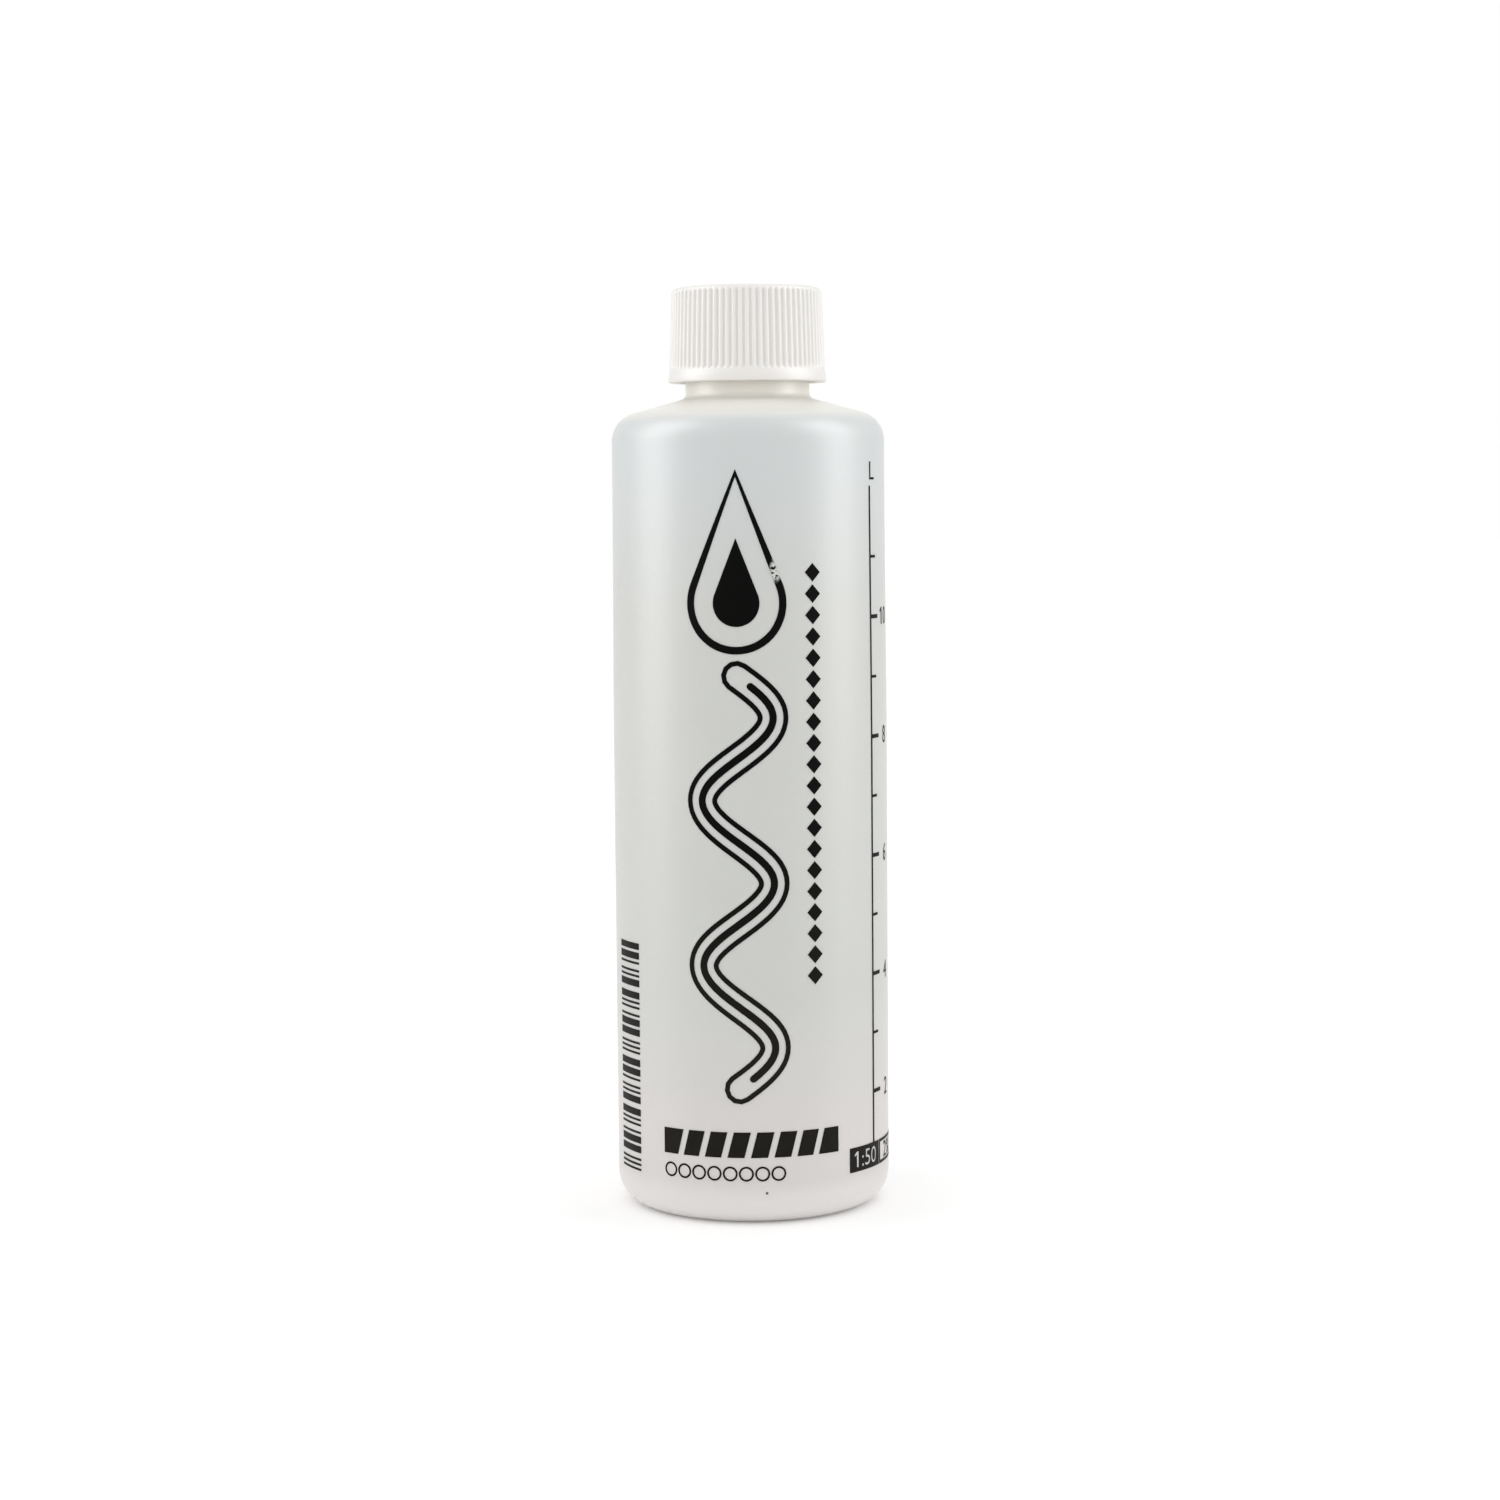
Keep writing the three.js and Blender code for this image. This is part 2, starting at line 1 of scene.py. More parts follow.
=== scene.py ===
"""Finish for an oil measuring bottle: a milky blow-moulded bottle with black print and a ribbed white cap.

Lengths are metres. The bottle stands on the floor at the origin, and its printed front faces -Y. The print is
laid out in millimetres on the unrolled wall: across from the middle of the front, and up from the floor.
"""
from math import acos, cos, degrees, pi, radians, sin, tan

import bmesh
import bpy
import numpy as np
from bpy.props import FloatProperty, FloatVectorProperty, IntProperty, PointerProperty
from bpy.types import Operator, Panel, PropertyGroup
from mathutils import Matrix, Vector
from mathutils.geometry import interpolate_bezier


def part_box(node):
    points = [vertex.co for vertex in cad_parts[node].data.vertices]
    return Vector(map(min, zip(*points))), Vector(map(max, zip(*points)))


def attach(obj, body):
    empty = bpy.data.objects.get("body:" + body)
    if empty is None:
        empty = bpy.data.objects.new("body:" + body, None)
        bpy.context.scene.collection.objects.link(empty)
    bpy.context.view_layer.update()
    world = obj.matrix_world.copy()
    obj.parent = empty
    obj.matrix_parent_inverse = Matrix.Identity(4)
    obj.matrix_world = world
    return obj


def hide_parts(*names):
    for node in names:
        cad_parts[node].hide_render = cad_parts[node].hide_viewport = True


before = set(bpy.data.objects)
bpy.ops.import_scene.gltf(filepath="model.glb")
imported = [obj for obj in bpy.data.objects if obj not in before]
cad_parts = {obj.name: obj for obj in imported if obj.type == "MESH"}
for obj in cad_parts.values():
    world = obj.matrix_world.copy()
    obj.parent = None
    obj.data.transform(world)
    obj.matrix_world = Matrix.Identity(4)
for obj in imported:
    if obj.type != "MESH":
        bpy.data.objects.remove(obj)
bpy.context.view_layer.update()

bl_info = {
    "name": "Oil measuring bottle",
    "version": (1, 0, 0),
    "blender": (4, 5, 0),
    "location": "3D View > Sidebar > Bottle",
    "description": "Builds a printed oil measuring bottle with a ribbed screw cap",
    "category": "Add Mesh",
}

BOTTLE_LOW, BOTTLE_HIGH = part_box("bottle")
CAP_LOW, CAP_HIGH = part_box("screw_cap")
LINER_LOW, LINER_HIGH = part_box("cap_liner")
MM = 0.001


def length_setting(name, description, default):
    """A length in metres that a user may change."""
    return FloatProperty(name=name, description=description, default=default, unit="LENGTH")


def angle_setting(name, description, default):
    """An angle that a user may change. Its default is in degrees."""
    return FloatProperty(name=name, description=description, default=radians(default), subtype="ANGLE")


def colour_setting(name, description, default):
    """A colour that a user may change."""
    return FloatVectorProperty(name=name, description=description, default=default, subtype="COLOR",
                               size=3, min=0.0, max=1.0)


class BottleSizes(PropertyGroup):
    """Sizes of the moulded bottle and its neck"""
    radius: length_setting(
        "Body radius", "Outside radius of the straight wall", (BOTTLE_HIGH[0] - BOTTLE_LOW[0]) / 2)
    height: length_setting("Height", "Floor to the lip of the neck", BOTTLE_HIGH[2])
    wall: length_setting("Wall", "Thickness of the wall", 0.0007)
    base_wall: length_setting("Base wall", "Thickness of the base", 0.0013)
    base_corner: length_setting("Base corner", "Radius between wall and base", 0.0055)
    stand_width: length_setting("Standing ring", "Width of the ring it stands on", 0.0016)
    push_up: length_setting("Push-up", "Rise of the dished base", 0.0018)
    shoulder_slope: angle_setting("Shoulder slope", "Slope of the shoulder", 15.3)
    shoulder_corner: length_setting("Shoulder corner", "Radius between wall and shoulder", 0.0052)
    neck_radius: length_setting("Neck radius", "Outside radius of the neck", 0.01125)
    neck_wall: length_setting("Neck wall", "Thickness of the neck", 0.0018)
    neck_height: length_setting("Neck height", "Shoulder to lip", 0.0176)
    neck_fillet: length_setting("Neck fillet", "Radius between shoulder and neck", 0.0011)
    lip_round: length_setting("Lip round", "Radius of the lip's two edges", 0.0004)
    seam_length: length_setting("Pinch seam length", "Length of the seam under the base", 0.024)
    seam_width: length_setting("Pinch seam width", "Width of the seam under the base", 0.0008)
    seam_height: length_setting("Pinch seam height", "Height of the seam under the base", 0.0004)
    drawn_in: length_setting("Drawn in", "How far the upper wall shrank in under the shoulder", 0.00026)
    parting_height: length_setting(
        "Parting line height", "How far the parting line stands out", 0.00005)
    parting_width: length_setting("Parting line width", "Width of the mould's parting line", 0.0003)
    parting_foot: length_setting("Parting line foot", "Height at which the parting line starts", 0.002)
    parting_fade: length_setting(
        "Parting line fade", "Height over which it reaches its full height", 0.004)


class ThreadSizes(PropertyGroup):
    """Sizes of the screw thread on neck and cap"""
    pitch: length_setting("Pitch", "Rise in one turn", 0.003175)
    turns: FloatProperty(name="Turns", description="Length of the ridge in turns", default=1.5)
    height: length_setting("Ridge height", "How far the ridge stands off the neck", 0.00095)
    cap_height: length_setting("Cap ridge height", "How far the cap's ridge stands inwards", 0.0008)
    foot: length_setting("Foot", "Width of the ridge's foot", 0.0015)
    crest: length_setting("Crest", "Width of the ridge's crest", 0.0007)
    top_drop: length_setting("Top drop", "Lip to the ridge's upper end", 0.0024)
    axial_play: length_setting("Axial play", "Gap between the two ridges", 0.0003)


class CapSizes(PropertyGroup):
    """Sizes of the screw cap"""
    foot: length_setting("Foot", "Height of the cap's lower edge", CAP_LOW[2])
    top: length_setting("Top", "Height of the cap's top", CAP_HIGH[2])
    band_radius: length_setting(
        "Band radius", "Radius of the plain band at the foot", (CAP_HIGH[0] - CAP_LOW[0]) / 2)
    inner_radius: length_setting("Inner radius", "Radius inside the skirt", 0.0124)
    skirt_foot_wall: length_setting("Skirt wall, foot", "Wall over the band", 0.0017)
    skirt_top_wall: length_setting("Skirt wall, top", "Wall under the top", 0.00125)
    band_height: length_setting("Band height", "Height of the plain band", 0.0013)
    band_flare: length_setting("Band flare", "Height of the flare over the band", 0.0009)
    top_round: length_setting("Top round", "Radius of the top edge", 0.0011)
    ribs: IntProperty(name="Ribs", description="Number of grip ribs", default=72)
    groove_depth: length_setting("Groove depth", "Depth of a grip groove", 0.00042)
    edge_round: length_setting("Edge round", "Radius of the lower edge", 0.00025)
    bead_drop: length_setting("Bead drop", "Bottle's lip to the retaining bead", 0.0002)
    bead_radius: length_setting("Bead radius", "Radius of the retaining bead", 0.0004)
    bead_shift: length_setting("Bead shift", "Wall to the middle of the bead", 0.00035)
    gate_radius: length_setting("Gate mark", "Radius of the dimple left by the mould's gate", 0.0013)
    gate_depth: length_setting("Gate depth", "Depth of the gate's dimple", 0.0002)


class PrintSizes(PropertyGroup):
    """Sizes of the printed film and its scales"""
    film: length_setting("Film", "Thickness of the ink", 0.00004)
    scale_zero: length_setting("Scale zero", "Height of the scale's zero", 0.0004)
    scale_foot: length_setting("Scale foot", "Height of the scale's lower end", 0.0126)
    scale_headroom: length_setting("Scale headroom", "Scale's upper end to the shoulder", 0.0083)
    first_mark: IntProperty(name="First mark", description="Number of the lowest mark", default=2)
    last_mark: IntProperty(name="Last mark", description="Number of the highest mark", default=11)
    run_on: FloatProperty(name="Run-on", description="Line over the last mark, in marks", default=1.17)
    line_width: length_setting("Line width", "Width of the scale's line", 0.00055)
    figure_height: length_setting("Figure height", "Height of the figures", 0.0032)
    figure_inset: length_setting("Figure inset", "Scale's line to the middle of its figures", 0.0065)
    label_width: length_setting("Label width", "Width of a ratio's field", 0.0095)
    label_height: length_setting("Label height", "Height of a ratio's field", 0.0045)
    label_foot: length_setting("Label foot", "Height of a ratio's lower edge", 0.0081)


class Finish(PropertyGroup):
    """Colours of the plastics and the ink"""
    wall: colour_setting("Wall", "Colour of the bottle's wall", (0.594, 0.601, 0.573))
    wall_top: colour_setting(
        "Upper wall", "Colour of the wall under the shoulder", (0.602, 0.628, 0.624))
    # The lower wall and the base are painted lighter: painted light from the bright floor below, over the
    # plastic's own warmer tone.
    foot: colour_setting("Lower wall", "Colour of the wall over the base", (0.664, 0.636, 0.617))
    base: colour_setting("Base", "Colour of the thicker plastic at the base", (0.865, 0.824, 0.798))
    # The neck is painted lighter: painted light that stands in for light through the translucent neck under
    # the cap's shade.
    neck: colour_setting("Neck", "Colour of the thick plastic of the neck", (0.850, 0.826, 0.762))
    lip: colour_setting("Lip", "Colour of the thread and the lip", (0.72, 0.71, 0.68))
    cap: colour_setting("Cap", "Colour of the cap", (0.770, 0.752, 0.729))
    liner: colour_setting("Liner", "Colour of the sealing disc", (0.82, 0.82, 0.80))
    ink: colour_setting("Ink", "Colour of the print", (0.0012, 0.0012, 0.0010))
    # The print is lighter towards the base.
    thin_ink: colour_setting(
        "Thin ink", "Colour of the thinner print near the base", (0.012, 0.011, 0.009))


class StudioSettings(PropertyGroup):
    """Camera and light of the studio"""
    camera_place: FloatVectorProperty(
        name="Camera", description="Place of the camera", subtype="TRANSLATION", size=3,
        default=(-0.00008, -0.5569, 0.1314))
    camera_pitch: angle_setting("Pitch", "How far the camera looks down", 4.95)
    camera_roll: angle_setting("Roll", "Roll of the camera", -0.48)
    lens: FloatProperty(name="Lens", description="Focal length in millimetres", default=73.02)
    world_level: FloatProperty(name="World", description="Level of the all-round light", default=1.04)
    floor_lift: FloatProperty(
        name="Floor lift", description="What the camera sees on top of the lit floor", default=0.13)
    side_power: FloatProperty(
        name="Side light", description="Power of each side light in watts", default=0.45)
    strip_power: FloatProperty(
        name="Strip", description="Power in watts of each strip that only gives gloss", default=7.8)
    left_azimuth: angle_setting("Left strip", "Direction of the left lights", -84)
    right_azimuth: angle_setting("Right strip", "Direction of the right lights", 80)
    light_distance: length_setting("Light distance", "Bottle's axis to each side light", 0.6)
    light_aim: FloatVectorProperty(
        name="Light aim", description="Place that the side lights face", subtype="TRANSLATION", size=3,
        default=(0.0, 0.0, 0.12))
    light_size: FloatVectorProperty(
        name="Light size", description="Width and height of each side light", size=2, default=(0.42, 0.84),
        unit="LENGTH")


def read(group):
    """A property group's values as a plain object."""
    return type("Values", (), {key: getattr(group, key) for key in group.bl_rna.properties.keys()
                               if key not in ("rna_type", "name")})


# Materials

def node_group(name, inputs, outputs):
    """A shader node group with its sockets, and its input and output nodes."""
    group = bpy.data.node_groups.new(name, "ShaderNodeTree")
    for label, kind, default in inputs:
        socket = group.interface.new_socket(name=label, in_out="INPUT", socket_type=kind)
        if default is not None:
            socket.default_value = default
    for label, kind in outputs:
        group.interface.new_socket(name=label, in_out="OUTPUT", socket_type=kind)
    return group, group.nodes.new("NodeGroupInput"), group.nodes.new("NodeGroupOutput")


def add_node(tree, kind, values=None, **settings):
    """A node with its settings, and with the values of its input sockets."""
    node = tree.nodes.new(kind)
    for key, value in settings.items():
        setattr(node, key, value)
    for socket, value in (values or {}).items():
        node.inputs[socket].default_value = value
    return node


def moulded_surface():
    """Mottling and fine grain of moulded plastic: a tint, a roughness and a height, in object space."""
    group, source, result = node_group(
        "moulded_surface",
        [("Mottle Scale", "NodeSocketFloat", 60.0), ("Mottle", "NodeSocketFloat", 0.05),
         ("Grain Scale", "NodeSocketFloat", 1500.0), ("Roughness", "NodeSocketFloat", 0.4),
         ("Roughness Spread", "NodeSocketFloat", 0.06)],
        [("Tint", "NodeSocketFloat"), ("Roughness", "NodeSocketFloat"), ("Height", "NodeSocketFloat")])
    place = add_node(group, "ShaderNodeTexCoord")
    mottle = add_node(group, "ShaderNodeTexNoise", {"Detail": 4.0, "Roughness": 0.55})
    grain = add_node(group, "ShaderNodeTexNoise", {"Detail": 2.0, "Roughness": 0.6})
    tint = add_node(group, "ShaderNodeMath", {1: 0.5}, operation="SUBTRACT")
    spread = add_node(group, "ShaderNodeMath", operation="MULTIPLY_ADD")
    shade = add_node(group, "ShaderNodeMath", {2: 1.0}, operation="MULTIPLY_ADD")
    height = add_node(group, "ShaderNodeMath", {1: 0.5}, operation="MULTIPLY_ADD")
    links = group.links.new
    links(place.outputs["Object"], mottle.inputs["Vector"])
    links(place.outputs["Object"], grain.inputs["Vector"])
    links(source.outputs["Mottle Scale"], mottle.inputs["Scale"])
    links(source.outputs["Grain Scale"], grain.inputs["Scale"])
    links(mottle.outputs["Fac"], tint.inputs[0])
    links(tint.outputs[0], shade.inputs[0])
    links(source.outputs["Mottle"], shade.inputs[1])
    links(tint.outputs[0], spread.inputs[0])
    links(source.outputs["Roughness Spread"], spread.inputs[1])
    links(source.outputs["Roughness"], spread.inputs[2])
    links(grain.outputs["Fac"], height.inputs[0])
    links(mottle.outputs["Fac"], height.inputs[2])
    links(shade.outputs[0], result.inputs["Tint"])
    links(spread.outputs[0], result.inputs["Roughness"])
    links(height.outputs[0], result.inputs["Height"])


def plastic_material(name, colour, surface, subsurface=0.0, reach=0.0, bump=0.00002, specular=0.5):
    """A material that carries the moulded surface: its tree, its shader and its surface node."""
    material = bpy.data.materials.new(name)
    material.use_nodes = True
    tree = material.node_tree
    shader = tree.nodes["Principled BSDF"]
    shader.inputs["Base Color"].default_value = (*colour, 1.0)
    shader.inputs["Subsurface Weight"].default_value = subsurface
    shader.inputs["Subsurface Radius"].default_value = (1.0, 0.95, 0.9)
    shader.inputs["Subsurface Scale"].default_value = reach
    shader.inputs["Specular IOR Level"].default_value = specular
    texture = add_node(tree, "ShaderNodeGroup", surface, node_tree=bpy.data.node_groups["moulded_surface"])
    relief = add_node(tree, "ShaderNodeBump", {"Strength": 1.0, "Distance": bump})
    tree.links.new(texture.outputs["Roughness"], shader.inputs["Roughness"])
    tree.links.new(texture.outputs["Height"], relief.inputs["Height"])
    tree.links.new(relief.outputs["Normal"], shader.inputs["Normal"])
    return tree, shader, texture


def tinted(tree, colour, texture):
    """A colour multiplied by the moulded surface's tint. The colour is a socket or three numbers."""
    scale = add_node(tree, "ShaderNodeVectorMath", operation="SCALE")
    if isinstance(colour, bpy.types.NodeSocket):
        tree.links.new(colour, scale.inputs[0])
    else:
        scale.inputs[0].default_value = colour
    tree.links.new(texture.outputs["Tint"], scale.inputs["Scale"])
    return scale.outputs[0]


def rise_between(tree, source, low, high):
    """A value that rises smoothly from 0 at low to 1 at high."""
    node = add_node(tree, "ShaderNodeMapRange", {"From Min": low, "From Max": high},
                    interpolation_type="SMOOTHSTEP")
    tree.links.new(source, node.inputs["Value"])
    return node.outputs["Result"]


def mixed(tree, factor, first, second):
    """A first colour socket mixed towards a second one, or towards three numbers, by a factor."""
    node = add_node(tree, "ShaderNodeMix", data_type="RGBA")
    tree.links.new(factor, node.inputs["Factor"])
    tree.links.new(first, node.inputs["A"])
    if isinstance(second, bpy.types.NodeSocket):
        tree.links.new(second, node.inputs["B"])
    else:
        node.inputs["B"].default_value = (*second, 1.0)
    return node.outputs["Result"]


def colour_by_height(tree, height, stops):
    """A colour that changes with the height over the floor, from rows of (height, colour)."""
    split = add_node(tree, "ShaderNodeSeparateXYZ")
    place = add_node(tree, "ShaderNodeTexCoord")
    tree.links.new(place.outputs["Object"], split.inputs[0])
    share = add_node(tree, "ShaderNodeMapRange", {"From Min": 0.0, "From Max": height})
    tree.links.new(split.outputs["Z"], share.inputs["Value"])
    ramp = add_node(tree, "ShaderNodeValToRGB")
    tree.links.new(share.outputs["Result"], ramp.inputs["Fac"])
    elements = ramp.color_ramp.elements
    elements.remove(elements[1])
    elements[0].position = 0.0
    elements[0].color = (*stops[0][1], 1.0)
    for level, colour in stops:
        elements.new(level / height).color = (*colour, 1.0)
    return ramp.outputs["Color"]


def spot(tree, place, radius, stretch=1.0):
    """A mask of 1 in a soft spot about a place, and 0 past its radius. It may be stretched upwards."""
    coordinates = add_node(tree, "ShaderNodeTexCoord")
    squeeze = add_node(tree, "ShaderNodeVectorMath", {1: (1.0, 1.0, 1.0 / stretch)}, operation="MULTIPLY")
    tree.links.new(coordinates.outputs["Object"], squeeze.inputs[0])
    middle = (place[0], place[1], place[2] / stretch)
    away = add_node(tree, "ShaderNodeVectorMath", {1: middle}, operation="DISTANCE")
    tree.links.new(squeeze.outputs[0], away.inputs[0])
    return rise_between(tree, away.outputs["Value"], radius, radius * 0.5)


def wall_place(across, height, radius):
    """The point in space of a place across and up the wall."""
    angle = across / radius
    return radius * sin(angle), -radius * cos(angle), height


SPECK = {"across": 0.0023, "height": 0.0062, "radius": 0.00034, "colour": (0.10, 0.09, 0.08)}


def wall_material(finish, sizes):
    """Milky polyethylene: cooler under the shoulder and warmer towards the base, with one dark speck. The
    lighter base and lower wall are partly painted light from the bright floor below, and the lighter band at
    the shoulder and neck is painted light that stands in for light through the translucent neck under the
    cap's shade.
    """
    tree, shader, texture = plastic_material(
        "milky_polyethylene", finish.wall,
        {"Mottle Scale": 45.0, "Mottle": 0.035, "Grain Scale": 900.0, "Roughness": 0.40,
         "Roughness Spread": 0.08},
        subsurface=0.35, reach=0.0022, bump=0.00006, specular=0.45)
    shoulder = sizes.height - sizes.neck_height
    plastic = colour_by_height(tree, sizes.height, (
        # Painted light: the base and the lower wall are lighter, for the light from the bright floor below.
        (0.0015, finish.base),
        (0.008, finish.foot), (0.018, finish.foot),
        (0.042, finish.wall), (0.110, finish.wall),
        (shoulder - 0.014, finish.wall_top), (shoulder - 0.0045, finish.wall_top),
        # Painted light: the band at the shoulder and neck is lighter, against the cap's shade.
        (shoulder - 0.0020, finish.neck), (shoulder + 0.003, finish.neck),
        (shoulder + 0.006, finish.lip)))
    speck = spot(tree, wall_place(SPECK["across"], SPECK["height"], sizes.radius), SPECK["radius"])
    colour = mixed(tree, speck, tinted(tree, plastic, texture), SPECK["colour"])
    tree.links.new(colour, shader.inputs["Base Color"])


def even_plastic(name, colour, surface, **settings):
    """A material of one colour with the moulded surface's tint."""
    tree, shader, texture = plastic_material(name, colour, surface, **settings)
    tree.links.new(tinted(tree, colour, texture), shader.inputs["Base Color"])


def cap_material(finish):
    """White moulded polypropylene."""
    even_plastic(
        "white_polypropylene", finish.cap,
        {"Mottle Scale": 120.0, "Mottle": 0.02, "Grain Scale": 2500.0, "Roughness": 0.45,
         "Roughness Spread": 0.06},
        subsurface=0.25, reach=0.0012)


def liner_material(finish):
    """White foamed polyethylene, dull and finely pitted."""
    even_plastic(
        "foam_liner", finish.liner,
        {"Mottle Scale": 300.0, "Mottle": 0.05, "Grain Scale": 4000.0, "Roughness": 0.75,
         "Roughness Spread": 0.05},
        subsurface=0.2, reach=0.001, bump=0.00008, specular=0.3)


RUBBED = {"across": 0.0047, "height": 0.1168, "radius": 0.0013, "stretch": 1.9}


def ink_material(finish, sizes):
    """Black screen-printing ink, lighter towards the base, and rubbed through in one place."""
    tree, shader, texture = plastic_material(
        "screen_ink", finish.ink,
        {"Mottle Scale": 400.0, "Mottle": 0.5, "Grain Scale": 3000.0, "Roughness": 0.45,
         "Roughness Spread": 0.1},
        bump=0.00001, specular=0.05)
    black = colour_by_height(tree, sizes.height, ((0.030, finish.thin_ink), (0.070, finish.ink)))
    coordinates = add_node(tree, "ShaderNodeTexCoord")
    flakes = add_node(tree, "ShaderNodeTexNoise", {"Scale": 1400.0, "Detail": 3.0, "Roughness": 0.6})
    tree.links.new(coordinates.outputs["Object"], flakes.inputs["Vector"])
    worn = add_node(tree, "ShaderNodeMath", operation="MULTIPLY")
    middle = wall_place(RUBBED["across"], RUBBED["height"], sizes.radius)
    rubbed = spot(tree, middle, RUBBED["radius"], stretch=RUBBED["stretch"])
    tree.links.new(rise_between(tree, flakes.outputs["Fac"], 0.44, 0.50), worn.inputs[0])
    tree.links.new(rubbed, worn.inputs[1])
    colour = mixed(tree, worn.outputs[0], tinted(tree, black, texture), finish.wall)
    tree.links.new(colour, shader.inputs["Base Color"])


# Turned meshes, with the longest steps between the rows of each stretch

AXIS_ROW, THREAD_ROW, BORE_ROW, BODY_ROW, SKIRT_ROW = 0.003, 0.0002, 0.002, 0.004, 0.0006


def arc(x, y, radius, start, end, steps):
    """Points on a circle's arc between two angles in degrees."""
    angles = np.radians(np.linspace(start, end, steps + 1))
    return [(x + radius * cos(a), y + radius * sin(a)) for a in angles]


def spaced(profile, step):
    """The profile with long stretches cut into steps no longer than the given one."""
    points = [profile[0]]
    for low, high in zip(profile, profile[1:]):
        count = max(1, int(np.ceil(np.hypot(high[0] - low[0], high[1] - low[1]) / step)))
        points += [tuple(np.add(low, np.subtract(high, low) * k / count)) for k in range(1, count + 1)]
    return points


def all_round(profile, angles):
    """Rows of the profile's radii and heights, each repeated for every angle."""
    return np.repeat(profile[:, :1], len(angles), axis=1), np.repeat(profile[:, 1:], len(angles), axis=1)


def turned_mesh(name, radii, heights, angles):
    """A closed mesh from rows of radii and heights at each angle. The first and last rows lie on the axis."""
    rows, sides = radii.shape
    mesh = bmesh.new()
    bottom = mesh.verts.new((0, 0, heights[0].mean()))
    rings = []
    for row in range(1, rows - 1):
        x, y = radii[row] * np.cos(angles), radii[row] * np.sin(angles)
        rings.append([mesh.verts.new((x[k], y[k], heights[row][k])) for k in range(sides)])
    top = mesh.verts.new((0, 0, heights[-1].mean()))
    for k in range(sides):
        after = (k + 1) % sides
        mesh.faces.new((bottom, rings[0][after], rings[0][k]))
        mesh.faces.new((top, rings[-1][k], rings[-1][after]))
        for low, high in zip(rings, rings[1:]):
            mesh.faces.new((low[k], low[after], high[after], high[k]))
    bmesh.ops.recalc_face_normals(mesh, faces=mesh.faces)
    return object_from(name, mesh)


def object_from(name, mesh, crease=40.0):
    """A linked object from a bmesh, smooth but for its sharp edges."""
    data = bpy.data.meshes.new(name)
    mesh.to_mesh(data)
    mesh.free()
    data.polygons.foreach_set("use_smooth", [True] * len(data.polygons))
    data.set_sharp_from_angle(angle=radians(crease))
    piece = bpy.data.objects.new(name, data)
    bpy.context.scene.collection.objects.link(piece)
    return piece


def finish_piece(piece, body, slot, material, *nodes):
    """Gives a piece its body and its material, and hides the frame's nodes that it stands for."""
    piece.data.materials.append(material)
    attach(piece, body)
    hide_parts(*nodes)


RUN_OUT = radians(30)


def ridge(angles, heights, thread, top_end):
    """How far a screw ridge stands out, from 0 to 1, at each angle and height."""
    sweep = thread.turns * 2 * pi
    out = np.zeros(heights.shape)
    for turn in range(int(np.ceil(thread.turns)) + 1):
        along = angles + turn * 2 * pi
        inside = along <= sweep
        centre = top_end - thread.pitch * (sweep - along) / (2 * pi)
        off = np.abs(heights - centre)
        shape = np.clip((thread.foot / 2 - off) / ((thread.foot - thread.crest) / 2), 0, 1)
        from_end = np.minimum(along, sweep - along)
        shape = np.minimum(shape, np.clip(from_end / RUN_OUT, 0, 1))
        out = np.maximum(out, np.where(inside, shape * shape * (3 - 2 * shape), 0))
    return out


def dish_height(radius, sizes):
    """Height of the dished base's underside at a radius."""
    rim = sizes.radius - sizes.base_corner - sizes.stand_width
    return sizes.push_up * (1 - np.minimum(radius / rim, 1) ** 2)


def body_profile(wall, sizes, side_top):
    """Lower corner, side and shoulder corner of the bottle, inset by a wall."""
    stand = sizes.radius - sizes.base_corner
    slope = degrees(sizes.shoulder_slope)
    low = arc(stand, sizes.base_corner, sizes.base_corner - wall, -90, 0, 12)
    high = arc(sizes.radius - sizes.shoulder_corner, side_top, sizes.shoulder_corner - wall,
               0, 90 - slope, 12)
    return low + high


def side_top_of(sizes):
    """Height at which the straight wall turns into the shoulder."""
    tangent = sizes.radius - sizes.shoulder_corner * (1 - sin(sizes.shoulder_slope))
    rise = (tangent - sizes.neck_radius) * tan(sizes.shoulder_slope)
    return sizes.height - sizes.neck_height - rise - sizes.shoulder_corner * cos(sizes.shoulder_slope)


def drawn_in(heights, sizes):
    """How far the cooling bottle drew its upper wall in, at a height."""
    low, high = sizes.height * 0.5, side_top_of(sizes)
    share = np.clip((heights - low) / (high - low), 0, 1)
    return sizes.drawn_in * share * share * (3 - 2 * share)


